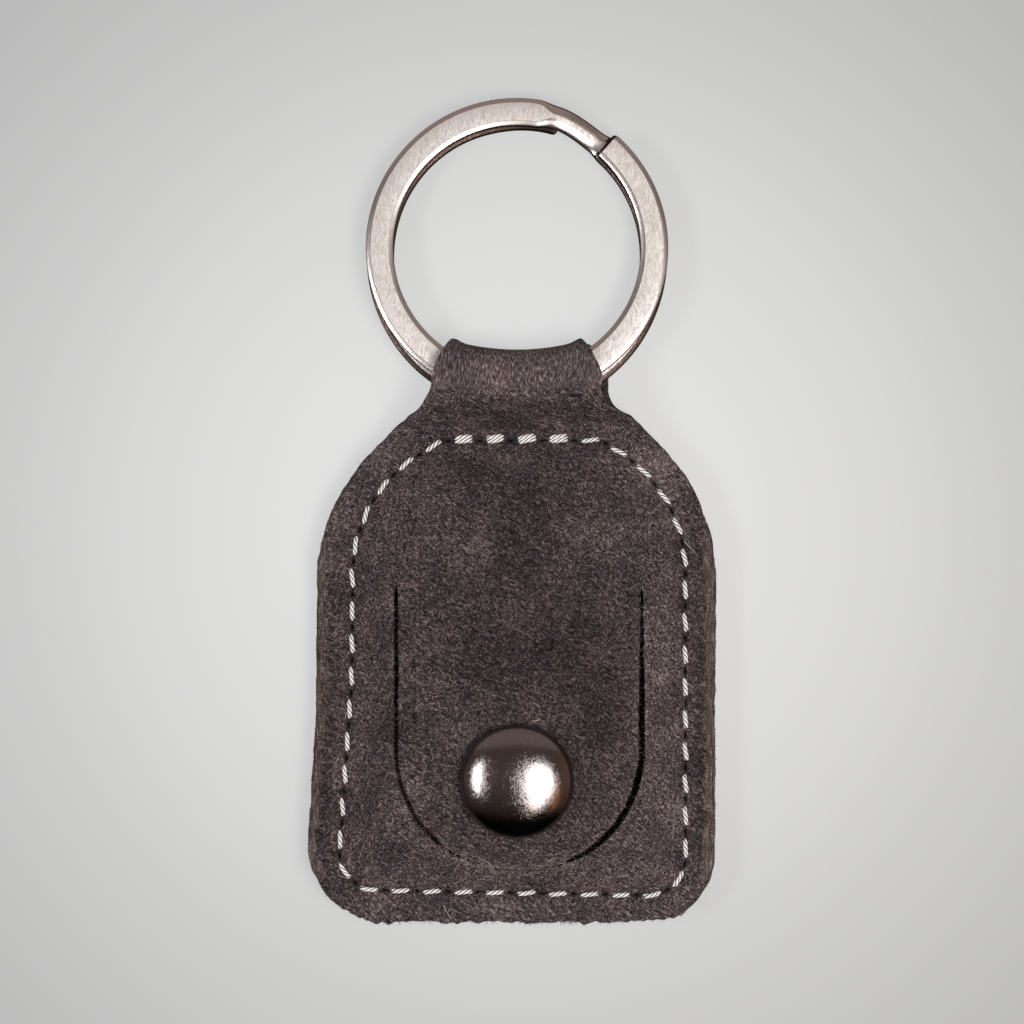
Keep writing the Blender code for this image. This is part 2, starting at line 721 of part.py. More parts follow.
def disc_reach(height):
    """Radius that the inside of the dome leaves free at a height above its rim."""
    dome = CAP_HEIGHT - CAP_RIM - CAP_SHEET
    share = min(1, max(0, (height + SNAP_FIT - CAP_RIM) / dome))
    return (CAP_RADIUS - CAP_SHEET) * math.sqrt(1 - share ** 2) - SNAP_FIT


def spring_height():
    """Height of the middle of the spring, in the lower half of the socket's bore."""
    return SOCKET_FOOT_Z + SPRING_WIRE / 2 + FIT


def snap_socket(place, collection, material):
    """The socket in the flap: a web on the post, a bore for the stud, a groove for its spring."""
    hub = POST_RADIUS + SNAP_FIT
    groove = SOCKET_BORE + SPRING_WIRE + SNAP_FIT - SPRING_PROUD
    tall = SPRING_WIRE / 2 + SNAP_FIT
    middle = spring_height()
    neck = SOCKET_BORE + SOCKET_WALL
    profile = [
        (hub, SOCKET_TOP_Z),
        (SOCKET_RADIUS, SOCKET_TOP_Z),
        (SOCKET_RADIUS, SOCKET_TOP_Z - SOCKET_RIM_HEIGHT),
        (neck, SOCKET_TOP_Z - SOCKET_RIM_HEIGHT - SOCKET_RECESS / 2),
        (neck, SOCKET_FOOT_Z + SPRING_WIRE / 2),
        (neck - SPRING_WIRE / 2, SOCKET_FOOT_Z),
        (SOCKET_BORE, SOCKET_FOOT_Z),
        (SOCKET_BORE, middle - tall),
        (groove, middle - tall),
        (groove, middle + tall),
        (SOCKET_BORE, middle + tall),
        (SOCKET_BORE, SOCKET_TOP_Z - SOCKET_WEB),
        (hub, SOCKET_TOP_Z - SOCKET_WEB),
    ]
    return turned("snap_socket", profile, True, place, collection, material)


def socket_spring(collection, material):
    """The open ring of spring wire in the socket's groove, which grips the stud's head."""
    radius = SOCKET_BORE + SPRING_WIRE / 2 - SPRING_PROUD
    sweep = 360 - SPRING_GAP_DEG
    points = []
    for k in range(TURNED_STEPS + 1):
        angle = math.radians(SPRING_GAP_DEG / 2 + sweep * k / TURNED_STEPS)
        points.append((radius * math.cos(angle), SNAP_Y + radius * math.sin(angle),
                       spring_height()))
    return wire("socket_spring", points, SPRING_WIRE / 2, 1, False, collection, material)


def snap_stud(place, collection, material):
    """The stud on the back panel: a flange, a waisted head and the eyelet's seat inside."""
    foot = STUD_FOOT_Z
    web = foot + STUD_SHEET
    tall = STUD_TOP_Z - web
    bore = EYELET_RADIUS + SNAP_FIT
    neck_bore = STUD_NECK_RADIUS - STUD_WALL
    waist_share = 0.35
    brow_share = 0.75
    profile = [
        (STUD_HEAD_RADIUS - STUD_WALL, STUD_TOP_Z),
        (STUD_HEAD_RADIUS, web + tall * brow_share),
        (STUD_NECK_RADIUS, web + tall * waist_share),
        (STUD_NECK_RADIUS, web),
        (STUD_FLANGE_RADIUS, web),
        (STUD_FLANGE_RADIUS, foot),
        (bore, foot),
        (bore, web),
        (neck_bore, web),
        (neck_bore, STUD_TOP_Z),
    ]
    return turned("snap_stud", profile, True, place, collection, material)


def stud_eyelet(place, collection, material):
    """The eyelet that holds the stud: a flange under the back panel, a barrel and its lip."""
    foot = EYELET_FOOT_Z
    flange_top = foot + EYELET_SHEET
    lip_foot = STUD_FOOT_Z + STUD_SHEET + SNAP_FIT
    bore = EYELET_RADIUS - EYELET_WALL
    profile = [
        (bore, lip_foot + EYELET_LIP_HEIGHT),
        (EYELET_RADIUS + EYELET_LIP, lip_foot + EYELET_LIP_HEIGHT / 2),
        (EYELET_RADIUS + EYELET_LIP, lip_foot),
        (EYELET_RADIUS, lip_foot),
        (EYELET_RADIUS, flange_top),
        (EYELET_FLANGE_RADIUS, flange_top),
        (EYELET_FLANGE_RADIUS, foot),
        (bore, foot),
    ]
    return turned("stud_eyelet", profile, True, place, collection, material)


def build():
    """Makes every piece, cuts it and hangs it on its joint."""
    clear_scene()
    keychain = new_collection("coin_holder_keychain")
    cutters = new_collection("cutters")

    leather = new_material("nubuck_leather", (0.082, 0.072, 0.068), 0.9, 0)
    linen = new_material("waxed_thread", (0.62, 0.58, 0.55), 0.6, 0)
    nickel = new_material("brushed_nickel", (0.62, 0.56, 0.53), 0.32, 1)
    gunmetal = new_material("gunmetal_plating", (0.055, 0.05, 0.047), 0.28, 1)
    brass = new_material("nickelled_brass", (0.45, 0.42, 0.38), 0.35, 1)

    seam = seam_outline()
    snap_place = (0, SNAP_Y, 0)
    tall = POCKET_TOP_Z + OVERRUN

    holes = awl_holes(seam, cutters)
    groove = thread_groove(seam, cutters)
    bend = bend_cutter(cutters)
    window = hide_cutter(plate(
        "flap_window", flap_outline(SLIT / 2, FLAP_HINGE_Y + FIT / 2), -OVERRUN, tall, cutters))
    tongue = hide_cutter(plate(
        "flap_tongue", flap_outline(-SLIT / 2, FLAP_HINGE_Y - FIT / 2), -OVERRUN, tall, cutters))
    neck = hide_cutter(plate("neck_blank", blank_outline(), -OVERRUN, tall, cutters))

    front_panel = front_sheet("front_panel", seam, keychain, leather)
    for cutter in (bend, window, holes):
        boolean(front_panel, cutter, "DIFFERENCE")

    back_panel = plate("back_panel", keep_below(blank_outline(), BEND_Y), 0, LEATHER,
                       keychain, leather)
    stud_seat = stepped_drill("stud_seat", [
        (STUD_FLANGE_RADIUS + SNAP_FIT, LEATHER + OVERRUN),
        (EYELET_RADIUS + SNAP_FIT, LEATHER - STUD_RECESS),
        (EYELET_FLANGE_RADIUS + SNAP_FIT, EYELET_RECESS),
    ], -OVERRUN, snap_place, cutters)
    for cutter in (bend, stud_seat, groove, holes):
        boolean(back_panel, cutter, "DIFFERENCE")

    coin_flap = front_sheet("coin_flap", seam, keychain, leather)
    boolean(coin_flap, tongue, "INTERSECT")
    boolean(coin_flap, stepped_drill("socket_seat", [
        (POST_RADIUS + SNAP_FIT, tall),
        (SOCKET_RADIUS + SNAP_FIT, POCKET_UNDER_Z + SOCKET_RECESS),
    ], LEATHER, snap_place, cutters), "DIFFERENCE")

    loop = ring_loop("ring_loop", keychain, leather)
    boolean(loop, neck, "INTERSECT")
    boolean(loop, bend, "DIFFERENCE")

    front_thread = thread("front_thread", seam, FRONT_TOP_Z + THREAD_REST + THREAD_RADIUS,
                          FRONT_TOP_Z + THREAD_REST + THREAD_RADIUS - THREAD_DIP,
                          keychain, linen)
    back_thread = thread("back_thread", seam, THREAD_REST + THREAD_RADIUS,
                         THREAD_REST + THREAD_RADIUS + THREAD_DIP, keychain, linen)

    cap = snap_cap((0, SNAP_Y, CAP_FOOT_Z), keychain, gunmetal)
    post = cap_post(snap_place, keychain, brass)
    socket = snap_socket(snap_place, keychain, gunmetal)
    spring = socket_spring(keychain, brass)
    stud = snap_stud(snap_place, keychain, gunmetal)
    eyelet = stud_eyelet(snap_place, keychain, gunmetal)
    key_ring = split_ring("split_ring", keychain, nickel)
    for piece in (cap, post, socket, stud, eyelet):
        round_shading(piece)

    pouch = new_empty("pouch", (0, 0, 0), keychain)
    flap_hinge = new_empty("flap_hinge", (FLAP_SHIFT, FLAP_HINGE_Y, POCKET_TOP_Z), keychain)
    neck_bend = new_empty("neck_bend", (0, BEND_Y, BEND_Z), keychain)
    hang_on([front_panel, back_panel, front_thread, back_thread, stud, eyelet, flap_hinge,
             neck_bend], pouch)
    hang_on([coin_flap, cap, post, socket, spring], flap_hinge)
    hang_on([loop, key_ring], neck_bend)

    print(f"flap hinge at y {FLAP_HINGE_Y / MM:.3f}, z {POCKET_TOP_Z / MM:.3f} mm")
    print(f"neck bend at y {BEND_Y / MM:.3f}, z {BEND_Z / MM:.3f} mm")
    print(f"ring centre at y {RING_CENTRE_Y / MM:.3f}, z {RING_CENTRE_Z / MM:.3f} mm, "
          f"tilt {math.degrees(RING_TILT):.3f} degrees")


build()
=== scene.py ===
"""Looks of the coin holder keychain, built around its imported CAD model.

Lengths are in millimetres unless a name says otherwise, and are turned to metres only where
a mesh, a lamp or the camera is written. X runs across the pouch, Y towards the key ring and
Z out of the front, with the origin on the back face.
"""

from __future__ import annotations

import json
import logging
import math
import random
from collections.abc import Sequence
from dataclasses import dataclass, field
from enum import Enum

import bpy
import numpy as np
from bpy.types import Material, Node, NodeSocket, NodeTree, Object
from mathutils import Matrix, Vector, noise
from mathutils.geometry import delaunay_2d_cdt

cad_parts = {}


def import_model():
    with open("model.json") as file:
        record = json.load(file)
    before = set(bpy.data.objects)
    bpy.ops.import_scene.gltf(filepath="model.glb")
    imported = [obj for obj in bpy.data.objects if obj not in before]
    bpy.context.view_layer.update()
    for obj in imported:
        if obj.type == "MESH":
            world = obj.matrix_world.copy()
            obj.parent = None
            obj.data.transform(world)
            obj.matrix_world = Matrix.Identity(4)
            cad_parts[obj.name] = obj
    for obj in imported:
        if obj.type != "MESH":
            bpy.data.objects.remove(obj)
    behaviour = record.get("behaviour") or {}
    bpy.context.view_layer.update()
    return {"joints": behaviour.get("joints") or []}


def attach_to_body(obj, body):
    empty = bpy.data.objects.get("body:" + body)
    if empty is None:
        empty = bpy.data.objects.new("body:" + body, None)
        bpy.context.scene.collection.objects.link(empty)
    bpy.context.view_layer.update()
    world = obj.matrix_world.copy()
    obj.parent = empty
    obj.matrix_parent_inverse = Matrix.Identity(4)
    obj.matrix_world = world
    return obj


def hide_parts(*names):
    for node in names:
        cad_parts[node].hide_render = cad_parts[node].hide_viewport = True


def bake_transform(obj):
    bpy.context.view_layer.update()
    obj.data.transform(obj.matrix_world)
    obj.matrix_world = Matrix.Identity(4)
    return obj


LOG = logging.getLogger("coin_holder_keychain")

Array = np.ndarray
Point = tuple[float, float]
Corner = tuple[float, float, float]
Source = Node | NodeSocket

MM = 0.001
FIBRE_SEED = 23
SNAP_CENTRE = (0.0, -12.56)
# Heights Y at the strap's neck and at the flap's root.
NECK_SPAN = (23.6, 27.2)
ROOT_SPAN = (7.2, 3.2)


class Body(Enum):
    """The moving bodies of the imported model."""

    POUCH = "pouch"
    FLAP = "flap"
    LOOP = "loop"
    RING = "ring"


class Slot(Enum):
    """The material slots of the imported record."""

    LEATHER = "nubuck_leather"
    THREAD = "waxed_thread"
    NICKEL = "brushed_nickel"
    GUNMETAL = "gunmetal_plating"
    BRASS = "nickelled_brass"


def linear(hex_colour: str) -> tuple[float, float, float, float]:
    """Turns an sRGB hex colour to linear red, green, blue and alpha.

    Args:
        hex_colour: a colour such as "#463D3A".

    Returns:
        The linear colour with an alpha of 1.
    """
    parts = [int(hex_colour[i:i + 2], 16) / 255 for i in (1, 3, 5)]
    return (*[p / 12.92 if p <= 0.04045 else ((p + 0.055) / 1.055) ** 2.4 for p in parts], 1.0)


def smooth(share: Array | float) -> Array:
    """An even rise from 0 to 1, flat at both ends."""
    share = np.clip(share, 0.0, 1.0)
    return share * share * (3 - 2 * share)


def bell(distance: Array, width: float) -> Array:
    """A soft bump of height 1 at no distance, that fades over a width."""
    return np.exp(-((distance / width) ** 2))


def between(first: Array | float, last: Array | float, share: Array | float) -> Array | float:
    """What lies at a share of the way from a first to a last value."""
    return first + (last - first) * share


def from_snap(points: Array) -> Array:
    """Distance of each point on the front from the snap's axis."""
    return np.hypot(points[:, 0] - SNAP_CENTRE[0], points[:, 1] - SNAP_CENTRE[1])


def rounded_path(corners: Sequence[Corner], closed: bool) -> Array:
    """Rounds the corners of a path.

    Args:
        corners: x, y and radius of each corner.
        closed: whether the last corner joins the first.

    Returns:
        The points of the path, with each arc drawn every few degrees.
    """
    arc_step = math.radians(4)
    spots = [np.array(corner[:2]) for corner in corners]
    count = len(spots)
    points = []
    for i, spot in enumerate(spots):
        radius = corners[i][2]
        if radius == 0 or (not closed and i in (0, count - 1)):
            points.append(spot)
            continue
        back = spots[i - 1] - spot
        on = spots[(i + 1) % count] - spot
        back = back / np.linalg.norm(back)
        on = on / np.linalg.norm(on)
        half = math.acos(float(np.clip(back @ on, -1, 1))) / 2
        middle = (back + on) / np.linalg.norm(back + on)
        centre = spot + middle * radius / math.sin(half)
        first = spot + back * radius / math.tan(half) - centre
        last = spot + on * radius / math.tan(half) - centre
        turn = math.atan2(first[0] * last[1] - first[1] * last[0], float(first @ last))
        steps = max(1, round(abs(turn) / arc_step))
        for k in range(steps + 1):
            c, s = math.cos(turn * k / steps), math.sin(turn * k / steps)
            points.append(centre + np.array((first[0] * c - first[1] * s, first[0] * s + first[1] * c)))
    return np.array(points)


def resample(path: Array, step: float, closed: bool) -> Array:
    """Spaces the points of a path evenly.

    Args:
        path: the points of the path, of two or three coordinates.
        step: the wanted distance between points.
        closed: whether the last point joins the first.

    Returns:
        The new points, with no repeat of the first one.
    """
    line = np.vstack([path, path[:1]]) if closed else path
    along = np.concatenate([[0], np.cumsum(np.linalg.norm(np.diff(line, axis=0), axis=1))])
    count = max(2, round(along[-1] / step))
    marks = np.linspace(0, along[-1], count + 1)
    marks = marks[:-1] if closed else marks
    return np.column_stack([np.interp(marks, along, line[:, k]) for k in range(line.shape[1])])


def smooth_curve(knots: Sequence[Point], per_span: int) -> Array:
    """A Catmull-Rom curve through a few given points.

    Args:
        knots: the points.
        per_span: how many points are drawn between each two.

    Returns:
        The points of the curve.
    """
    p = np.array([knots[0], *knots, knots[-1]], float)
    shares = np.linspace(0, 1, per_span, endpoint=False)[:, None]
    spans = []
    for a, b, c, d in zip(p, p[1:], p[2:], p[3:]):
        spans.append(0.5 * (2 * b + (c - a) * shares + (2 * a - 5 * b + 4 * c - d) * shares ** 2
                            + (3 * b - a - 3 * c + d) * shares ** 3))
    return np.vstack([*spans, p[-1:]])


def unit(vectors: Array) -> Array:
    """The same directions with a length of 1."""
    return vectors / np.maximum(np.linalg.norm(vectors, axis=1), 1e-9)[:, None]


def tangents(path: Array, closed: bool) -> Array:
    """Unit directions along a path, in the plane or in space."""
    if closed:
        return unit(np.roll(path, -1, 0) - np.roll(path, 1, 0))
    return unit(np.gradient(path, axis=0))


def outward_of(path: Array, closed: bool) -> Array:
    """Unit normals of a path that runs anticlockwise, pointing out of it."""
    along = tangents(path, closed)
    return np.column_stack([along[:, 1], -along[:, 0]])


def distance_to(points: Array, path: Array, closed: bool) -> Array:
    """Shortest distance of each point to a path.

    Args:
        points: the points, in the plane.
        path: the corners of the path.
        closed: whether the last corner joins the first.

    Returns:
        One distance for each point.
    """
    starts = path if closed else path[:-1]
    ends = np.roll(path, -1, 0) if closed else path[1:]
    best = np.full(len(points), np.inf)
    batch = 48
    for k in range(0, len(starts), batch):
        a = starts[k:k + batch]
        side = ends[k:k + batch] - a
        rel = points[:, None] - a[None]
        share = np.clip((rel * side).sum(2) / np.maximum((side * side).sum(1), 1e-12), 0, 1)
        gap = rel - share[..., None] * side
        best = np.minimum(best, np.sqrt((gap * gap).sum(2)).min(1))
    return best


def is_inside(points: Array, polygon: Array) -> Array:
    """Whether each point lies in a closed polygon."""
    found = np.zeros(len(points), bool)
    x, y = points[:, 0], points[:, 1]
    for (ax, ay), (bx, by) in zip(polygon, np.roll(polygon, -1, 0)):
        if ay == by:
            continue
        crosses = (ay > y) != (by > y)
        found ^= crosses & (x < ax + (y - ay) * (bx - ax) / (by - ay))
    return found


def wander(points: Array, wavelength: float, seed: int) -> Array:
    """Smooth noise from about -1 to 1 at places in the plane or in space.

    Args:
        points: the places.
        wavelength: distance between one swell and the next.
        seed: picks the pattern.

    Returns:
        One value for each place.
    """
    shift = 17.3 * seed
    deep = points.shape[1] > 2
    return np.array([
        noise.noise(Vector((p[0] / wavelength, p[1] / wavelength,
                            (p[2] / wavelength if deep else 0.0) + shift))) for p in points
    ])


def circle(centre: Point, radius: float, count: int) -> Array:
    """Points of a circle, anticlockwise."""
    turn = np.linspace(0, math.tau, count, endpoint=False)
    return np.column_stack([centre[0] + radius * np.cos(turn), centre[1] + radius * np.sin(turn)])


def connect(tree: NodeTree, node: Node, inputs: dict) -> None:
    """Fills a node's inputs, found by name or number.

    Args:
        tree: the node tree.
        node: the node.
        inputs: for each input a value, a socket to link, or a node whose first output is linked.
    """
    for key, value in inputs.items():
        if isinstance(value, Node):
            value = value.outputs[0]
        if isinstance(value, NodeSocket):
            tree.links.new(value, node.inputs[key])
        else:
            node.inputs[key].default_value = value


def add_node(tree: NodeTree, kind: str, inputs: dict | None = None,
             stops: Sequence[tuple[float, str]] = (), **settings: object) -> Node:
    """Adds a shader node.

    Args:
        tree: the node tree.
        kind: the node's type, without its ShaderNode.
        inputs: what fills its inputs, as connect takes it.
        stops: places and hex colours of a colour ramp.
        settings: the node's own properties.

    Returns:
        The new node.
    """
    node = tree.nodes.new("ShaderNode" + kind)
    for name, value in settings.items():
        setattr(node, name, value)
    for k, (place, colour) in enumerate(stops):
        ramp = node.color_ramp.elements
        stop = ramp[k] if k < len(ramp) else ramp.new(place)
        stop.position = place
        stop.color = linear(colour)
    connect(tree, node, inputs or {})
    return node


def new_material(name: str) -> tuple[Material, NodeTree, Node]:
    """Makes a material with a Principled shader.

    Args:
        name: the material's name.

    Returns:
        The material, its node tree and its shader.
    """
    material = bpy.data.materials.new(name)
    material.use_nodes = True
    tree = material.node_tree
    return material, tree, tree.nodes["Principled BSDF"]


def math_node(tree: NodeTree, operation: str, *values: Source | float) -> Node:
    """Adds a Math node, with its inputs filled in order."""
    return add_node(tree, "Math", dict(enumerate(values)), operation=operation)


def remap(tree: NodeTree, value: Source, start: float, end: float, low: float = 0.0,
          high: float = 1.0) -> Node:
    """Turns a value that runs from a start to an end into one that runs from low to high."""
    return add_node(tree, "MapRange", {
        "Value": value, "From Min": start, "From Max": end, "To Min": low, "To Max": high,
    })


def streaks(tree: NodeTree, place: Source, length: float, width: float, angle_deg: float,
            layer: int) -> Node:
    """Draws one layer of noise that is stretched into short streaks.

    Args:
        tree: the node tree.
        place: coordinates in millimetres.
        length: length of a streak.
        width: width of a streak.
        angle_deg: direction of the streaks, from the X axis.
        layer: shifts the pattern, so that layers differ.

    Returns:
        A node whose value lies round 0.5.
    """
    turned = add_node(tree, "VectorRotate", {"Vector": place, "Angle": -math.radians(angle_deg)},
                      rotation_type="Z_AXIS")
    drawn = add_node(tree, "VectorMath", {
        0: turned, 1: (1 / length, 1 / width, 1 / width), 2: (7.7 * layer, 3.1 * layer, 5.3 * layer),
    }, operation="MULTIPLY_ADD")
    return add_node(tree, "TexNoise", {"Vector": drawn, "Scale": 0.5, "Detail": 1.0})


def swirled(tree: NodeTree, place: Source, wavelength: float, reach: float) -> Node:
    """Bends coordinates softly to and fro, by a reach over a wavelength."""
    bend = add_node(tree, "TexNoise", {"Vector": place, "Scale": 1 / wavelength, "Detail": 1.0})
    centred = add_node(tree, "VectorMath", {0: bend.outputs["Color"], 1: (0.5, 0.5, 0.5)},
                       operation="SUBTRACT")
    return add_node(tree, "VectorMath", {0: centred, 1: (reach, reach, reach), 2: place},
                    operation="MULTIPLY_ADD")


def matted(tree: NodeTree, place: Source, length: float, width: float, patch: float,
           angles: tuple[float, ...], calm: Source | float = 1.0) -> Node:
    """Draws a mat of short fibres that lie another way from one small patch to the next.

    Args:
        tree: the node tree.
        place: coordinates in millimetres.
        length: length of a fibre.
        width: width of a fibre.
        patch: size of a patch whose fibres lie one way.
        angles: the directions of the fibres in degrees, the main one first.
        calm: how much the other directions show, down to 0 where only the main one does.

    Returns:
        A node whose value lies round 0.5, higher on the fibres.
    """
    bent = swirled(tree, place, length, length * 0.8)
    total = streaks(tree, bent, length, width, angles[0], 0)
    for k, angle in enumerate(angles[1:], 1):
        shifted = add_node(tree, "VectorMath", {0: place, 1: (0.0, 0.0, 9.1 * k)})
        where = add_node(tree, "TexNoise", {"Vector": shifted, "Scale": 1 / patch, "Detail": 1.0})
        mask = remap(tree, where, 0.46, 0.54)
        part = math_node(tree, "MULTIPLY", mask, calm)
        layer = streaks(tree, bent, length, width, angle, k)
        total = add_node(tree, "Mix", {0: part, 2: total, 3: layer})
    return total


def scratches(tree: NodeTree, place: Source, length: float, width: float, share: float,
              angles: tuple[float, ...]) -> Node:
    """Draws thin scratches that cross each other.

    Args:
        tree: the node tree.
        place: coordinates in millimetres.
        length: length of a scratch.
        width: distance between neighbouring scratches.
        share: how wide the scratches are, against that distance.
        angles: their directions in degrees.

    Returns:
        A node whose value is 1 in a scratch and 0 beside it.
    """
    bent = swirled(tree, place, length * 2, length * 0.3)
    total = None
    for k, angle in enumerate(angles):
        layer = streaks(tree, bent, length, width, angle, k)
        off = math_node(tree, "SUBTRACT", layer, 0.5)
        away = math_node(tree, "ABSOLUTE", off)
        line = remap(tree, away, 0.0, share, 1.0, 0.0)
        total = line if total is None else math_node(tree, "MAXIMUM", total, line)
    return total


@dataclass(frozen=True)
class NappedLeather:
    """Nubuck or suede: cowhide sanded until its short fibres stand up.

    The matted fibres catch light one by one, so the eye sees dark pits with paler threads over
    them, in soft patches where the nap was stroked one way or the other.
    """

    name: str
    pit: str
    ground: str
    fibre: str
    tip: str
    # Real fibres are about 0.05 mm wide; these are tufts of them, as wide as the eye can tell apart.
    fibre_length: float = 0.27
    fibre_width: float = 0.082
    lie: float = 0.6
    angles: tuple[float, ...] = (88.0, 40.0, 120.0, 65.0, 150.0)
    # Where the tone gain, painted light included, reaches this the nap lies one way only, and below the
    # second gain it lies all ways.
    combed_gain: float = 1.7
    mixed_gain: float = 1.35
    patch: float = 4.5
    nap_height: float = 0.1
    sheen: float = 0.1

    def material(self) -> Material:
        """Builds the material, in the coordinates of the flat blank."""
        material, tree, shader = new_material(self.name)
        blank = add_node(tree, "Attribute", attribute_name="blank").outputs["Vector"]
        tone_and_painted_light = add_node(tree, "Attribute", attribute_name="tone_and_painted_light").outputs["Fac"]
        calm = remap(tree, tone_and_painted_light, self.combed_gain, self.mixed_gain)
        mat = matted(tree, blank, self.fibre_length, self.fibre_width, self.lie, self.angles, calm)
        pores = add_node(tree, "TexNoise", {"Vector": blank, "Scale": 0.6 / self.fibre_width, "Detail": 2.0})
        cloud = add_node(tree, "TexNoise", {"Vector": blank, "Scale": 1 / self.patch, "Detail": 3.0})
        nap = math_node(tree, "MULTIPLY_ADD", pores, 0.45, mat)
        patchy = math_node(tree, "MULTIPLY_ADD", cloud, 0.3, nap)
        level = math_node(tree, "SUBTRACT", patchy, 0.375)
        flat = remap(tree, tone_and_painted_light, 1.5, 1.75, 0.0, 0.3)
        evened = add_node(tree, "Mix", {0: flat, 2: level, 3: 0.5})
        colour = add_node(tree, "ValToRGB", {0: evened}, stops=[
            (0.29, self.pit), (0.45, self.ground), (0.58, self.fibre), (0.74, self.tip),
        ])
        hue = add_node(tree, "ValToRGB", {0: cloud}, stops=[(0.38, "#FAFAFF"), (0.62, "#FFFAF8")])
        tinted = add_node(tree, "VectorMath", {0: colour, 1: hue}, operation="MULTIPLY")
        # The colour is scaled by the tone gain, which carries painted light on the strap, painted shade in
        # hollows and holes, and a painted highlight by the slit.
        varied = add_node(tree, "VectorMath", {0: tinted, "Scale": tone_and_painted_light}, operation="SCALE")
        dull = remap(tree, mat, 0.3, 0.7, 0.97, 0.8)
        bump = add_node(tree, "Bump", {"Height": nap, "Strength": 0.9, "Distance": self.nap_height * MM})
        connect(tree, shader, {
            "Base Color": varied, "Roughness": dull, "Normal": bump, "Specular IOR Level": 0.22,
            "Sheen Weight": self.sheen, "Sheen Roughness": 0.5, "Sheen Tint": linear(self.tip),
        })
        return material


@dataclass(frozen=True)
class CutEdge:
    """The raw edge of the leather where a knife cut it, never dyed or burnished.

    It shows the hide's layers as darker lines along the edge, with a dry, matt, ragged face.
    """

    name: str = "cut_leather_edge"
    dark: str = "#241D1C"
    middle: str = "#564A47"
    pale: str = "#94847F"
    layer: float = 0.2
    run: float = 1.6

    def material(self) -> Material:
        """Builds the material, with its layers stacked through the leather and in from its sides."""
        material, tree, shader = new_material(self.name)
        blank = add_node(tree, "Attribute", attribute_name="blank").outputs["Vector"]
        tone_and_painted_light = add_node(tree, "Attribute", attribute_name="tone_and_painted_light").outputs["Fac"]
        stacked = add_node(tree, "VectorMath", {
            0: blank, 1: (1 / self.layer, 1 / self.run, 1 / self.layer),
        }, operation="MULTIPLY")
        layers = add_node(tree, "TexNoise", {"Vector": stacked, "Scale": 1.0, "Detail": 4.0})
        crumbs = add_node(tree, "TexNoise", {"Vector": blank, "Scale": 1 / self.layer, "Detail": 3.0})
        both = math_node(tree, "MULTIPLY", layers, crumbs)
        colour = add_node(tree, "ValToRGB", {0: both}, stops=[
            (0.12, self.dark), (0.27, self.middle), (0.45, self.pale),
        ])
        # The cut edge's colour is scaled by the tone gain, painted near black as shade inside the slit.
        varied = add_node(tree, "VectorMath", {0: colour, "Scale": tone_and_painted_light}, operation="SCALE")
        bump = add_node(tree, "Bump", {"Height": both, "Strength": 1.0, "Distance": self.layer / 2 * MM})
        connect(tree, shader, {
            "Base Color": varied, "Normal": bump, "Roughness": 0.95, "Specular IOR Level": 0.2,
        })
        return material


@dataclass(frozen=True)
class WaxedThread:
    """Bleached linen sewing thread, three plies twisted and drawn through wax.

    The wax gives a low shine. Each ply is painted darker away from its crown and into the grooves between the
    plies, as shade.
    """

    name: str = "waxed_linen_thread"
    shade: str = "#5E5658"
    body: str = "#C9C3C4"
    bright: str = "#FAF8F7"
    filament: float = 0.05
    filament_length: float = 0.9

    def material(self) -> Material:
        """Builds the material, with its filaments drawn along each ply."""
        material, tree, shader = new_material(self.name)
        ply = add_node(tree, "Attribute", attribute_name="ply").outputs["Vector"]
        crown = add_node(tree, "Attribute", attribute_name="crown").outputs["Fac"]
        drawn = add_node(tree, "VectorMath", {
            0: ply, 1: (1 / self.filament_length, 1 / self.filament, 1 / self.filament),
        }, operation="MULTIPLY")
        fine = add_node(tree, "TexNoise", {"Vector": drawn, "Scale": 1.0, "Detail": 2.0})
        mixed = math_node(tree, "MULTIPLY_ADD", fine, 0.3, crown)
        # The ramp paints the plies darker as shade into the grooves between them.
        colour = add_node(tree, "ValToRGB", {0: mixed}, stops=[
            (0.3, self.shade), (0.75, self.body), (1.0, self.bright),
        ])
        dull = remap(tree, fine, 0.0, 1.0, 0.42, 0.7)
        bump = add_node(tree, "Bump", {"Height": fine, "Strength": 0.5, "Distance": self.filament / 2 * MM})
        connect(tree, shader, {
            "Base Color": colour, "Roughness": dull, "Normal": bump, "Sheen Weight": 0.1,
        })
        return material


@dataclass(frozen=True)
class LooseFibre:
    """Single hairs of collagen pulled out of the leather by the knife and by wear."""

    name: str = "loose_leather_fibre"
    dark: str = "#3A322F"
    pale: str = "#93877F"

    def material(self) -> Material:
        """Builds the material, with each hair in a tone of its own."""
        material, tree, shader = new_material(self.name)
        tone = add_node(tree, "Attribute", attribute_name="tone").outputs["Fac"]
        colour = add_node(tree, "ValToRGB", {0: tone}, stops=[
            (0.0, self.dark), (0.8, self.pale), (1.0, "#CFC6BE"),
        ])
        connect(tree, shader, {"Base Color": colour, "Roughness": 0.7, "Specular IOR Level": 0.3})
        return material


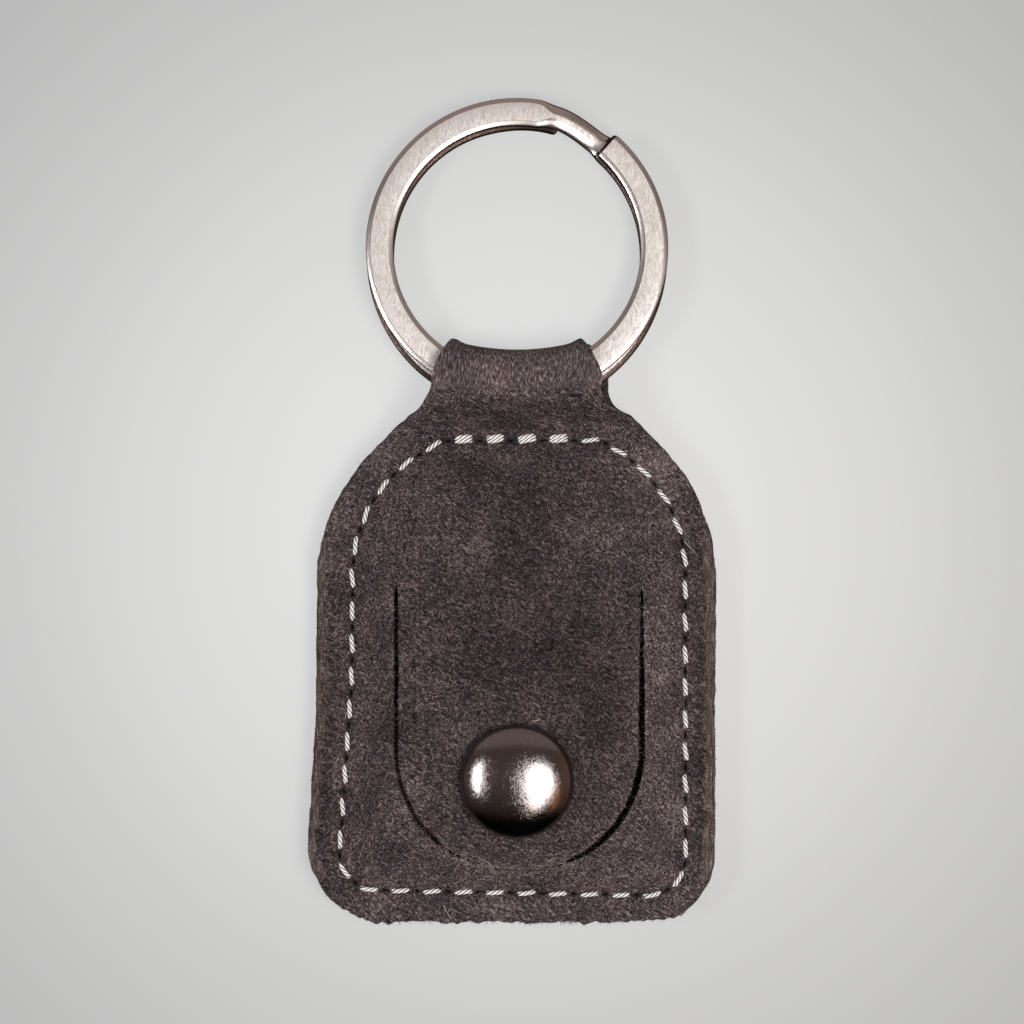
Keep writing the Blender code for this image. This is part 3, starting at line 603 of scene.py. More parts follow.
@dataclass(frozen=True)
class PlatedMetal:
    """A plated metal surface, from mirror bright to satin, with the marks of its making and use.

    Short crossing scratches spread each highlight, and finger grease dulls it in soft patches.
    """

    name: str
    colour: str
    deep: str
    roughness: float
    roughness_spread: float
    scratch_length: float
    scratch_width: float
    scratch_share: float
    scratch_depth: float
    angles: tuple[float, ...] = (12.0, 57.0, 101.0, 148.0)
    tint_share: float = 0.5
    brushed: bool = False

    def material(self) -> Material:
        """Builds the material, in the piece's own coordinates."""
        material, tree, shader = new_material(self.name)
        own = add_node(tree, "TexCoord").outputs["Object"]
        place = add_node(tree, "VectorMath", {0: own, "Scale": 1 / MM}, operation="SCALE")
        if self.brushed:
            strokes = matted(tree, place, self.scratch_length, self.scratch_width, 1.4, self.angles)
            marks = remap(tree, strokes, 0.5 + self.scratch_share, 0.5 - self.scratch_share)
        else:
            marks = scratches(tree, place, self.scratch_length, self.scratch_width, self.scratch_share,
                              self.angles)
        grease = add_node(tree, "TexNoise", {"Vector": place, "Scale": 0.45, "Detail": 3.0})
        shade = math_node(tree, "MULTIPLY", marks, self.tint_share)
        colour = add_node(tree, "Mix", {0: shade, 6: linear(self.colour), 7: linear(self.deep)},
                          data_type="RGBA")
        varied = math_node(tree, "ADD", grease, marks)
        half = self.roughness_spread / 2
        dull = remap(tree, varied, 0.3, 1.4, self.roughness - half, self.roughness + half)
        bump = add_node(tree, "Bump", {
            "Height": marks, "Strength": 0.6, "Distance": self.scratch_depth * MM,
        })
        connect(tree, shader, {
            "Base Color": colour.outputs[2], "Roughness": dull, "Normal": bump, "Metallic": 1.0,
        })
        return material


NUBUCK = NappedLeather("nubuck_nap", "#181313", "#332B2B", "#524848", "#857977")
FLESH_SIDE = NappedLeather("suede_flesh_side", "#2A221F", "#54483F", "#7B6D62", "#A39486", fibre_length=0.7)
CUT_EDGE = CutEdge()
THREAD = WaxedThread()
FIBRE = LooseFibre()
# Satin nickel: tumbled with fine grit after winding, so that its flats glow softly with a warm cast.
SATIN_NICKEL = PlatedMetal("satin_nickel", "#FFFDFB", "#D6CEC9", 0.58, 0.16, 0.55, 0.085, 0.2, 0.02,
                           angles=(92.0, 70.0, 112.0, 84.0), tint_share=1.0, brushed=True)
# Bright nickel: the wire's rolled edges, which keep the mirror of the plating bath.
BRIGHT_NICKEL = PlatedMetal("bright_nickel", "#D6CDC9", "#B4ABA6", 0.32, 0.1, 0.9, 0.14, 0.03, 0.002)
# Shaded nickel: the wire's sheared sides, its lower turn and its ends, painted dark as shade between and
# under the turns.
SHADED_NICKEL = PlatedMetal("nickel_painted_shade", "#463A35", "#2A2320", 0.32, 0.14, 0.7, 0.2, 0.05, 0.006)
# Gunmetal: black nickel over pressed brass, polished, then rubbed by pockets and fingers.
GUNMETAL = PlatedMetal("gunmetal_black_nickel", "#868080", "#A49A94", 0.095, 0.05, 0.3, 0.11, 0.045, 0.0042,
                       tint_share=0.4)
# Nickelled brass: the turned inner parts of the snap, a little yellow where the plating is thin.
NICKELLED_BRASS = PlatedMetal("nickelled_brass_plating", "#B9AE9A", "#8F8167", 0.28, 0.1, 0.5, 0.2,
                              0.04, 0.004)


def mesh_piece(name: str, points: Array, faces: list, materials: list[Material],
               slots: Array | None = None, values: dict[str, Array] | None = None,
               sharp_deg: float = 40.0) -> Object:
    """Writes a piece's mesh.

    Args:
        name: the piece's name.
        points: its points.
        faces: its faces, as point numbers.
        materials: its materials.
        slots: the material number of each face.
        values: named values of the points, of one or three numbers each.
        sharp_deg: the angle from which an edge is drawn sharp.

    Returns:
        The new object.
    """
    mesh = bpy.data.meshes.new(name)
    mesh.from_pydata((points * MM).tolist(), [], faces)
    for material in materials:
        mesh.materials.append(material)
    if slots is not None:
        mesh.polygons.foreach_set("material_index", np.asarray(slots, np.int32))
    for key, data in (values or {}).items():
        wide = data.ndim > 1
        attribute = mesh.attributes.new(key, "FLOAT_VECTOR" if wide else "FLOAT", "POINT")
        attribute.data.foreach_set("vector" if wide else "value", data.astype(np.float32).ravel())
    mesh.update()
    mesh.shade_smooth()
    mesh.set_sharp_from_angle(angle=math.radians(sharp_deg))
    piece = bpy.data.objects.new(name, mesh)
    bpy.context.scene.collection.objects.link(piece)
    LOG.info("%s: %d points, %d faces", name, len(points), len(faces))
    return piece


@dataclass
class Seam:
    """The line of saddle stitches round the pocket, marked out side by side with an awl."""

    corners: tuple[Corner, ...] = (
        (-8.0, 23.2, 1.5),
        (-17.4, 17.6, 15.0),
        (-17.5, -2.0, 40.0),
        (-19.1, -24.3, 4.0),
        (17.85, -25.0, 4.0),
        (17.8, 17.6, 15.0),
        (8.9, 23.3, 1.5),
    )
    # Where each side's first stitch lies, and how many stitches the side has.
    sides: tuple[tuple[float, float, int], ...] = (
        (-8.77, 22.6, 14),
        (-17.9, -22.1, 11),
        (16.87, -23.0, 14),
        (10.83, 22.1, 6),
    )
    path_step: float = 0.1
    hole_half_length: float = 0.62
    hole_half_width: float = 0.21
    hole_depth: float = 0.75

    def __post_init__(self) -> None:
        """Draws the line and spaces the stitches on it."""
        self.path = resample(rounded_path(self.corners, True), self.path_step, True)
        self.step = float(np.linalg.norm(self.path[1] - self.path[0]))
        self.length = self.step * len(self.path)
        starts = []
        for x, y, _ in self.sides:
            gap = np.linalg.norm(self.path - np.array((x, y)), axis=1)
            starts.append(float(np.argmin(gap)) * self.step)
        centres = []
        for k, (_, _, count) in enumerate(self.sides):
            span = (starts[(k + 1) % len(starts)] - starts[k]) % self.length
            centres += [starts[k] + span * i / count for i in range(count)]
        self.centres = np.unwrap(np.array(centres), period=self.length)
        after = np.append(self.centres[1:], self.centres[0] + self.length)
        self.holes = (self.centres + after) / 2

    def point(self, along: Array) -> tuple[Array, Array]:
        """Places and directions on the line.

        Args:
            along: distances from the start of the line.

        Returns:
            The places and the unit directions there.
        """
        spot = (np.asarray(along) / self.step) % len(self.path)
        low = spot.astype(int) % len(self.path)
        share = (spot - np.floor(spot))[:, None]
        after = self.path[(low + 1) % len(self.path)]
        reach = 4
        ahead = self.path[(low + reach) % len(self.path)] - self.path[(low - reach) % len(self.path)]
        return self.path[low] * (1 - share) + after * share, unit(ahead)

    def phase(self, along: Array) -> Array:
        """How far each place is past its stitch's middle, from -0.5 to 0.5 at the awl holes."""
        marks = np.append(self.centres, self.centres[0] + self.length)
        spot = (np.asarray(along) - marks[0]) % self.length + marks[0]
        k = np.clip(np.searchsorted(marks, spot, side="right") - 1, 0, len(marks) - 2)
        share = (spot - marks[k]) / (marks[k + 1] - marks[k])
        return np.where(share < 0.5, share, share - 1)

    def depth_inside(self, points: Array) -> Array:
        """Distance from the line, above 0 inside it and below 0 outside."""
        coarse = self.path[::3]
        return np.where(is_inside(points, coarse), 1.0, -1.0) * distance_to(points, coarse, True)

    def dimples(self, points: Array) -> Array:
        """Depth of the awl holes at places on the leather."""
        places, ways = self.point(self.holes)
        deep = np.zeros(len(points))
        for spot, way in zip(places, ways):
            rel = points - spot
            near = np.abs(rel).max(1) < 2 * self.hole_half_length
            along = rel[near] @ way / self.hole_half_length
            across = (rel[near, 0] * way[1] - rel[near, 1] * way[0]) / self.hole_half_width
            deep[near] = np.maximum(deep[near], 1 - smooth(np.hypot(along, across) / 1.15))
        return deep * self.hole_depth

    def guides(self) -> Array:
        """Places on the leather where its mesh needs points to hold the seam and its holes."""
        rows = [resample(self.path + outward_of(self.path, True) * off, 0.42, True)
                for off in (-0.95, -0.6, 0.6, 0.95)]
        places, ways = self.point(self.holes)
        rings = []
        for scale, count in ((1.15, 10), (0.75, 8), (0.35, 6), (0.0, 1)):
            ring = circle((0.0, 0.0), scale, count)
            for spot, way in zip(places, ways):
                along = ring[:, :1] * self.hole_half_length
                across = ring[:, 1:] * self.hole_half_width
                rings.append(spot + along * way + across * np.array((-way[1], way[0])))
        return np.vstack(rows + rings)


@dataclass
class Slit:
    """The cut that frees the flap, open at its sides and nearly closed by fibres at its tip."""

    shift: float = 0.2
    half_width: float = 12.9
    root_y: float = 7.2
    end_y: float = 8.0
    tip_y: float = -22.2
    width_left: float = 0.43
    width_right: float = 0.68
    width_right_root: float = 0.25
    widening_run: float = 13.0
    width_tip: float = 0.09
    steady_run: float = 0.9
    raggedness: float = 0.14
    step: float = 0.33

    def __post_init__(self) -> None:
        """Draws the two edges of the cut, which runs on a little past the flap's root."""
        left = self.shift - self.half_width
        right = self.shift + self.half_width
        half = self.half_width - 0.01
        line = rounded_path([(left, self.root_y, 0), (left, self.tip_y, half),
                             (right, self.tip_y, half), (right, self.root_y, 0)], False)
        self.line = resample(line, self.step, False)
        out = outward_of(self.line, False)
        share = np.linspace(0, 1, len(self.line))
        run = share * self.step * (len(self.line) - 1)
        wider = smooth((run[-1] - run) / self.widening_run)
        right_side = between(self.width_right_root, self.width_right, wider)
        side = np.where(share < 0.5, self.width_left, right_side)
        closing = smooth((np.abs(share - 0.49) - 0.04) / 0.1)
        wide = between(self.width_tip, side, closing)
        ends = smooth(np.minimum(run, run[-1] - run) / self.steady_run)
        rag = self.raggedness * ends * (0.4 + 0.6 * closing)
        self.window = self.line + out * (wide / 2 + rag * np.abs(wander(self.line, 0.9, 3)))[:, None]
        self.tongue = self.line - out * (wide / 2 + rag * wander(self.line, 1.1, 4))[:, None]
        count = round(2 * self.half_width / self.step)
        across = np.linspace(self.tongue[-1, 0], self.tongue[0, 0], count + 1)[1:-1]
        self.root = np.column_stack([across, np.full(len(across), self.root_y)])
        self.hole = np.vstack([self.window, [(right, self.end_y)], self.tongue[-1:], self.root,
                               self.tongue[:1], [(left, self.end_y)]])


@dataclass
class Strap:
    """The strap's course in section, from the front of the pouch over the ring to its back.

    A place on the flat blank is (x, t): x across, and t along the strap, which is Y on the front.
    """

    # Outer side of the strap as (y, z), given round the ring's wire.
    knots: tuple[Point, ...] = (
        (22.0, 3.3), (23.2, 3.3), (24.2, 3.4), (25.1, 4.05), (25.9, 4.95), (26.8, 5.62), (28.0, 5.93),
        (29.4, 6.02), (30.8, 5.93), (31.9, 5.45), (32.6, 4.5), (32.9, 3.1), (32.7, 1.7), (32.0, 0.65),
        (30.8, 0.1), (29.4, 0.0), (27.5, 0.0), (25.5, 0.0), (23.5, 0.0), (22.0, 0.0),
    )
    far: float = -60.0
    bow_from: float = 28.6
    bow_full: float = 32.0
    bow_rise: float = 1.25
    bow_half_width: float = 7.84
    tip_x: float = 6.5
    tip_rise: float = 0.3
    tip_reach: float = 0.55
    lean: float = 0.25
    leather: float = 1.5
    fold_leather: float = 1.1
    edge_leather: float = 0.78
    thin_from: float = 24.0
    thin_full: float = 26.6
    neck_y: float = 28.6
    neck_half: float = 9.2
    neck_taper: float = 2.25
    neck_run: float = 5.3

    def __post_init__(self) -> None:
        """Draws the section and measures along it."""
        curve = smooth_curve(self.knots, 24)
        curve[:, 1] = np.maximum(curve[:, 1], 0.0)
        front = [(self.far, self.knots[0][1])]
        back = [(self.far, self.knots[-1][1])]
        self.section = np.vstack([front, curve, back])
        steps = np.linalg.norm(np.diff(self.section, axis=0), axis=1)
        self.along = self.far + np.concatenate([[0], np.cumsum(steps)])
        self.way = unit(np.gradient(self.section, self.along, axis=0))
        self.apex = int(np.argmax(self.section[:, 0]))
        self.apex_t = float(self.along[self.apex])
        self.front_y = self.section[:self.apex + 1, 0]
        self.back_y = self.section[self.apex:, 0]

    def front_t(self, y: Array) -> Array:
        """Distance along the strap of a height Y on its front."""
        return np.interp(y, self.front_y, self.along[:self.apex + 1])

    def back_t(self, y: Array) -> Array:
        """Distance along the strap of a height Y on its back."""
        return np.interp(-np.asarray(y), -self.back_y, self.along[self.apex:])

    def flat_y(self, t: Array) -> Array:
        """Height Y of a distance along the strap, before the fold is bowed."""
        return np.interp(t, self.along, self.section[:, 0])

    def fold_share(self, y: Array) -> Array:
        """How far a height Y belongs to the fold, from 0 to 1."""
        return smooth((np.asarray(y) - self.bow_from) / (self.bow_full - self.bow_from))

    def bow(self, x: Array) -> Array:
        """How far the fold stands further out beside the middle, because the wire curves away."""
        away = np.abs(x)
        return (self.bow_rise * (away / self.bow_half_width) ** 2
                + self.tip_rise * bell(away - self.tip_x, self.tip_reach))

    def inward(self, t: Array, normal: Array) -> Array:
        """Directions through the leather, upright on the slope so that its cut edge stays upright."""
        until = self.front_t(np.array((27.4, 28.6)))
        slope = 1 - smooth((t - until[0]) / (until[1] - until[0]))
        way = normal.copy()
        way[:, 1] *= 1 + (self.lean - 1) * slope
        way = unit(way)
        return way / (way * normal).sum(1)[:, None]

    def half_width(self, y: Array) -> Array:
        """Half the width of the neck at a height Y above its corner."""
        lifted = y + self.fold_share(y) * self.bow_rise * 0.8
        share = np.clip((lifted - self.neck_y) / self.neck_run, 0, 1.2)
        return self.neck_half - self.neck_taper * share ** 1.5

    def thickness(self, x: Array, t: Array) -> Array:
        """Thickness of the leather, which is pared and stretched thin round the ring."""
        y = self.flat_y(t)
        thin = smooth((y - self.thin_from) / (self.thin_full - self.thin_from))
        edge = self.fold_share(y) * np.clip(np.abs(x) / self.bow_half_width, 0, 1) ** 2
        fold = between(self.fold_leather, self.edge_leather, edge)
        return between(self.leather, fold, thin)

    def place(self, x: Array, t: Array) -> tuple[Array, Array, Array]:
        """Puts places of the flat blank where they lie on the finished strap.

        Args:
            x: places across.
            t: places along.

        Returns:
            Points of the outer side, its normals, and the directions in which t grows.
        """
        y = np.interp(t, self.along, self.section[:, 0])
        z = np.interp(t, self.along, self.section[:, 1])
        wy = np.interp(t, self.along, self.way[:, 0])
        wz = np.interp(t, self.along, self.way[:, 1])
        size = np.hypot(wy, wz)
        zero = np.zeros(len(x))
        along = np.column_stack([zero, wy / size, wz / size])
        normal = np.column_stack([zero, -wz / size, wy / size])
        shifted = y + self.bow(x) * self.fold_share(y)
        return np.column_stack([x, shifted, z]), normal, along


@dataclass
class Patch:
    """A soft patch where the leather's colour is scaled paler or darker than the rest."""

    x: float
    y: float
    reach_x: float
    reach_y: float
    gain: float

    def at(self, points: Array) -> Array:
        """The patch's gain at places on the leather."""
        off = np.hypot((points[:, 0] - self.x) / self.reach_x, (points[:, 1] - self.y) / self.reach_y)
        return self.gain * np.exp(-off ** 2)


@dataclass
class Relief:
    """The hills and hollows of the front leather, which flap and pouch share."""

    seam: Seam
    slit: Slit
    pocket_rise: float = 2.1
    pocket_slope: float = 5.8
    valley: float = 0.2
    valley_width: float = 0.6
    swell: float = 0.07
    swell_wavelength: float = 7.0
    grain: float = 0.02
    grain_wavelength: float = 0.9
    snap_radius: float = 6.0
    snap_dip: float = 0.1
    # Each as x, y, the reach in x and in y, and the gain. The darker patch at y 26 is painted shade on the
    # slope where the strap rises over the ring.
    patches: tuple[Patch, ...] = tuple(Patch(*row) for row in (
        (1.0, 2.5, 11.0, 9.0, -0.49),
        (8.5, -6.0, 4.5, 7.0, -0.45),
        (0.0, -18.5, 8.0, 3.0, -0.24),
        (0.0, 16.5, 9.0, 5.0, -0.33),
        (-15.0, 21.2, 3.0, 2.6, 0.52),
        (15.0, 21.2, 3.0, 2.6, 0.52),
        (-13.5, 0.0, 3.0, 10.0, -0.19),
        (15.5, -3.0, 2.4, 14.0, 0.42),
        (13.5, -20.5, 5.0, 4.0, 0.34),
        (12.5, 14.0, 4.0, 5.0, 0.2),
        (-11.5, 16.0, 5.0, 4.5, 0.1),
        (19.2, -6.0, 1.1, 15.0, -0.24),
        (-20.8, -6.0, 1.1, 15.0, -0.24),
        (0.0, -26.4, 18.0, 1.6, 0.08),
        (0.0, 26.0, 10.0, 2.0, -0.26),
    ))
    furrow: float = 0.05
    furrow_width: float = 0.34
    # Painted light on the strap's top where it rises over the ring wire.
    neck_painted_light: float = 0.76
    neck_from: float = 26.8
    neck_full: float = 29.8

    def crown(self, points: Array) -> Array:
        """Rise of the leather over the coin pocket."""
        inside = self.seam.depth_inside(points)
        return self.pocket_rise * smooth(inside / self.pocket_slope)

    def rough(self, points: Array) -> Array:
        """Unevenness of the leather's outer side, without the crown."""
        inside = self.seam.depth_inside(points)
        away = from_snap(points)
        return (self.swell * wander(points, self.swell_wavelength, 1)
                + self.grain * wander(points, self.grain_wavelength, 2)
                - self.valley * bell(inside, self.valley_width)
                - self.seam.dimples(points)
                - self.furrow * bell(distance_to(points, self.slit.line, False), self.furrow_width)
                - self.snap_dip * (1 - smooth((away - self.snap_radius) / 1.6)))

    def tone_and_painted_light(self, points: Array) -> Array:
        """A gain on the leather's colour around 1, with painted light and shade in it."""
        gain = 1 + sum(patch.at(points) for patch in self.patches)
        # Painted light on the strap where it rises over the ring.
        gain += self.neck_painted_light * smooth((points[:, 1] - self.neck_from) / (self.neck_full - self.neck_from))
        inside = self.seam.depth_inside(points)
        # Painted shade along the seam's valley, and a paler band just inside it.
        gain += 0.1 * bell(inside - 2.6, 1.5) - 0.12 * bell(inside, 0.5)
        # A painted highlight on the lip beside the slit.
        gain += 0.2 * bell(distance_to(points, self.slit.line, False) - 0.5, 0.15)
        # Painted shade in the awl holes.
        holes = self.seam.dimples(points) / self.seam.hole_depth
        return gain * (1 - 0.88 * smooth(holes * 1.3))


@dataclass
class Sheet:
    """A piece cut from the blank and given its thickness."""

    strap: Strap
    edge_round: float = 0.34
    rows: int = 3
    edge_rag: float = 0.06
    # How much darker the inner side is painted, as shade.
    inner_painted_shade: float = 0.6

    def solid(self, name: str, loops: list[Array], guides: Array, surfaces,
              finishes: list[Material]) -> Object:
        """Cuts a piece from the blank and makes it a closed solid.

        Args:
            name: the piece's name.
            loops: its outline and then its holes, on the flat blank.
            guides: more places on the blank where its mesh needs points.
            surfaces: a function that gives the heights of its outer and inner sides, its tone gain
            with painted light and shade, where it is raw and the tone of its cut edges.
            finishes: the materials of its outer side, its cut edges and its inner side.

        Returns:
            The new piece.
        """
        flat, faces = self.triangulated(loops, guides)
        high, low, tone_and_painted_light, raw, edge = surfaces(flat)
        base, normal, along = self.strap.place(flat[:, 0], flat[:, 1])
        top = base + normal * high[:, None]
        foot = base + self.strap.inward(flat[:, 1], normal) * low[:, None]
        count = len(flat)
        rims = self.rims(faces)
        edge_points = sorted({k for pair in rims for k in pair})
        sideways = np.zeros((count, 2))
        for a, b in rims:
            side = flat[b] - flat[a]
            out = np.array((side[1], -side[0])) / max(np.linalg.norm(side), 1e-9)
            sideways[a] += out
            sideways[b] += out
        points = [top, foot]
        blank = [np.column_stack([flat, high]), np.column_stack([flat, low])]
        # The inner side is painted darker as shade; cut edges take their own tone, painted near black as
        # shade in the slit.
        tones = [tone_and_painted_light, tone_and_painted_light * self.inner_painted_shade]
        chosen = np.array(edge_points)
        out = unit(sideways[chosen])
        push = out[:, :1] * np.array((1.0, 0, 0)) + out[:, 1:] * along[chosen]
        for row in range(self.rows):
            share = (row + 1) / (self.rows + 1)
            mid = top[chosen] * (1 - share) + foot[chosen] * share
            rag = self.edge_rag * wander(mid, 0.55, 6 + row)
            points.append(mid + push * rag[:, None])
            height = high[chosen] * (1 - share) + low[chosen] * share
            blank.append(np.column_stack([flat[chosen], height]))
            tones.append(tone_and_painted_light[chosen] * edge[chosen])
        place_of = {point: 2 * count + k for k, point in enumerate(edge_points)}
        steps = [row * len(edge_points) for row in range(self.rows)]
        solid = [tuple(face) for face in faces]
        slots = raw[faces].all(axis=1).astype(int).tolist()
        solid += [(count + a, count + c, count + b) for a, b, c in faces]
        slots += [2] * len(faces)
        for a, b in rims:
            here, there = ([k, *(place_of[k] + step for step in steps), count + k] for k in (a, b))
            solid += list(zip(there, here, here[1:], there[1:]))
            slots += [1] * (self.rows + 1)
        return mesh_piece(name, np.vstack(points), solid, finishes, np.array(slots),
                          {"blank": np.vstack(blank), "tone_and_painted_light": np.concatenate(tones)}, 50.0)

    @staticmethod
    def triangulated(loops: list[Array], guides: Array) -> tuple[Array, Array]:
        """Fills an outline with triangles, leaving its holes open.

        Args:
            loops: the outline and then its holes.
            guides: places that the triangles should use.

        Returns:
            The points and the triangles, anticlockwise.
        """
        points = np.vstack([*loops, guides])
        edges = []
        start = 0
        for loop in loops:
            count = len(loop)
            edges += [(start + k, start + (k + 1) % count) for k in range(count)]
            start += count
        spots, _, faces, _, _, _ = delaunay_2d_cdt([Vector(p) for p in points], edges, [], 0, 1e-5)
        flat = np.array([(p.x, p.y) for p in spots])
        faces = np.array([face for face in faces if len(face) == 3])
        middles = flat[faces].mean(axis=1)
        keep = is_inside(middles, loops[0])
        for hole in loops[1:]:
            keep &= ~is_inside(middles, hole)
        faces = faces[keep]
        a, b, c = flat[faces[:, 0]], flat[faces[:, 1]], flat[faces[:, 2]]
        area = (b[:, 0] - a[:, 0]) * (c[:, 1] - a[:, 1]) - (b[:, 1] - a[:, 1]) * (c[:, 0] - a[:, 0])
        faces[area < 0] = faces[area < 0][:, ::-1]
        used = np.unique(faces)
        number = np.full(len(flat), -1)
        number[used] = np.arange(len(used))
        return flat[used], number[faces]

    @staticmethod
    def rims(faces: Array) -> list[tuple[int, int]]:
        """The edges that only one triangle uses, with the leather on their left."""
        sides = {}
        for a, b, c in faces.tolist():
            for pair in ((a, b), (b, c), (c, a)):
                sides[pair] = True
        return [pair for pair in sides if (pair[1], pair[0]) not in sides]

    def rounding(self, points: Array, paths: list[tuple[Array, bool]]) -> Array:
        """How far the surface drops near its cut edges."""
        away = np.min([distance_to(points, path, closed) for path, closed in paths], axis=0)
        radius = self.edge_round
        into = np.clip(radius - away, 0, radius)
        return radius - np.sqrt(radius ** 2 - into ** 2)

    def edge_guides(self, path: Array, closed: bool, inward: float) -> Array:
        """Rows of points beside a cut edge, so that its rounding has faces to show on."""
        out = outward_of(path, closed)
        return np.vstack([path - out * inward * off for off in (0.1, 0.3)])

    @staticmethod
    def grid(low: tuple[float, float], high: tuple[float, float], step: float,
             avoid: list[tuple[Array, bool]], room: float) -> Array:
        """A staggered grid of points that keeps clear of some paths."""
        rows = np.arange(low[1], high[1], step * 0.87)
        marks = []
        for k, t in enumerate(rows):
            xs = np.arange(low[0] + (k % 2) * step / 2, high[0], step)
            marks.append(np.column_stack([xs, np.full(len(xs), t)]))
        points = np.vstack(marks)
        clear = np.min([distance_to(points, path, closed) for path, closed in avoid], axis=0)
        return points[clear > room]


@dataclass
class Pouch:
    """The leather blank: front, strap and back in one folded piece, and the flap cut in it."""

    seam: Seam
    slit: Slit
    strap: Strap
    relief: Relief
    sheet: Sheet
    corners: tuple[Corner, ...] = (
        (-9.05, 28.5, 1.5),
        (-10.35, 26.3, 1.5),
        (-13.0, 24.35, 1.5),
        (-21.25, 16.5, 20.0),
        (-21.2, -4.0, 60.0),
        (-22.6, -27.9, 8.2),
        (21.05, -27.68, 7.2),
        (21.0, -2.0, 60.0),
        (21.15, 16.8, 20.0),
        (13.35, 24.55, 8.0),
        (8.6, 27.7, 2.4),
    )
    strap_from_y: float = 29.6
    outline_step: float = 0.24
    raggedness: float = 0.15
    base_raggedness: float = 0.24
    fine_rag: float = 0.03
    base_fine_rag: float = 0.26
    fine_rag_wavelength: float = 0.55
    base_y: float = -26.6
    # Width of the raw band that the knife left bare beside the left and right edges.
    raw_left: float = 1.25
    raw_right: float = 1.5
    raw_wander: float = 0.25
    # Painted shade in a crease just inside the raw band.
    crease: float = 0.4
    crease_width: float = 0.22
    raw_low: float = -23.5
    raw_high: float = 13.0
    back_peek: float = 0.95
    back_peek_y: float = 28.0
    back_peek_run: float = 3.2
    # How dark the slit's cut edges are painted, as shade inside the narrow cut.
    slit_painted_shade: float = 0.07
    slit_rounding: float = 0.2
    edge_tone: float = 0.8
    grid_step: float = 0.62
    groove_depth: float = 0.72
    groove_width: float = 0.42
    stud_seat_radius: float = 4.02
    stud_seat_depth: float = 0.35
    eyelet_seat_radius: float = 4.12
    eyelet_seat_depth: float = 0.55
    eyelet_hole_radius: float = 1.42
    post_hole_radius: float = 1.82
    socket_seat_radius: float = 5.02
    socket_seat_depth: float = 0.5

    def __post_init__(self) -> None:
        """Draws the blank's outline."""
        y = self.strap_from_y
        half = float(self.strap.half_width(np.array(y)))
        path = rounded_path([(-half, y, 0), *self.corners, (half, y, 0)], False)
        self.front = resample(path, self.outline_step, False)

    def back_outline(self) -> Array:
        """The back's outline, from its right side round to its left, as (x, y)."""
        back = self.front[::-1].copy()
        lift = bell(back[:, 1] - self.back_peek_y, self.back_peek_run)
        back[:, 0] += np.where(back[:, 0] > 0, self.back_peek * lift, 0.0)
        return back

    def outline(self) -> Array:
        """The closed outline of the whole flat blank, as (x, t)."""
        front = np.column_stack([self.front[:, 0], self.strap.front_t(self.front[:, 1])])
        back = self.back_outline()
        back = np.column_stack([back[:, 0], self.strap.back_t(back[:, 1])])
        ts = np.arange(front[-1, 1] + self.outline_step, back[0, 1] - self.outline_step / 2,
                       self.outline_step)
        half = self.strap.half_width(self.strap.flat_y(ts))
        peek = self.back_peek * smooth((ts - self.strap.apex_t) / 3.0)
        right = np.column_stack([half + peek, ts])
        left = np.column_stack([-half, ts])[::-1]
        loop = np.vstack([front, right, back, left])
        out = outward_of(loop, True)
        near_base = smooth(self.base_y + 0.5 - self.strap.flat_y(loop[:, 1]))
        reach = between(self.raggedness, self.base_raggedness, near_base)
        fine = between(self.fine_rag, self.base_fine_rag, near_base)
        rag = (reach * (wander(loop, 3.1, 8) + 0.5 * wander(loop, 1.1, 9))
               + fine * wander(loop, self.fine_rag_wavelength, 15))
        return loop + out * rag[:, None]

    def raw(self, spots: Array, away: Array) -> Array:
        """Which places on the front are bare, at a distance from the outer edge."""
        wide = np.where(spots[:, 0] > 0, self.raw_right, self.raw_left)
        return self.beside(spots) & (away < wide + self.raw_wander * wander(spots, 1.4, 14))

    def beside(self, spots: Array) -> Array:
        """Which places lie along the straight left and right sides."""
        return ((spots[:, 1] > self.raw_low) & (spots[:, 1] < self.raw_high)
                & (np.abs(spots[:, 0]) > self.slit.half_width + 2))

    def leather(self) -> Object:
        """Makes the pouch's leather with its strap, without the flap."""
        loop = self.outline()
        window = self.slit.hole
        centre = (SNAP_CENTRE[0], float(self.strap.back_t(SNAP_CENTRE[1])))
        eyelet = circle(centre, self.eyelet_hole_radius, 28)
        rims = [(loop, True), (self.slit.window, False)]
        front_seam = self.seam.guides()
        back_seam = np.column_stack([front_seam[:, 0], self.strap.back_t(front_seam[:, 1])])
        sewn = np.vstack([front_seam, back_seam])
        seats = [circle(centre, radius + off, 44)
                 for radius in (self.stud_seat_radius, self.eyelet_seat_radius) for off in (-0.04, 0.04)]
        grid = self.sheet.grid((-23, -28.5), (23, 2 * self.strap.apex_t + 29), self.grid_step,
                               [(loop, True), (window, True)], 0.45)
        guides = np.vstack([
            self.sheet.edge_guides(loop, True, 1.0),
            self.sheet.edge_guides(self.slit.window, False, -1.0)[3:-3],
            sewn, *seats, self.clear_of(grid, sewn, 0.3),
        ])
        guides = guides[is_inside(guides, loop)]
        return self.sheet.solid("pouch_leather", [loop, window, eyelet], guides,
                                lambda flat: self.surfaces(flat, rims), self.finishes())

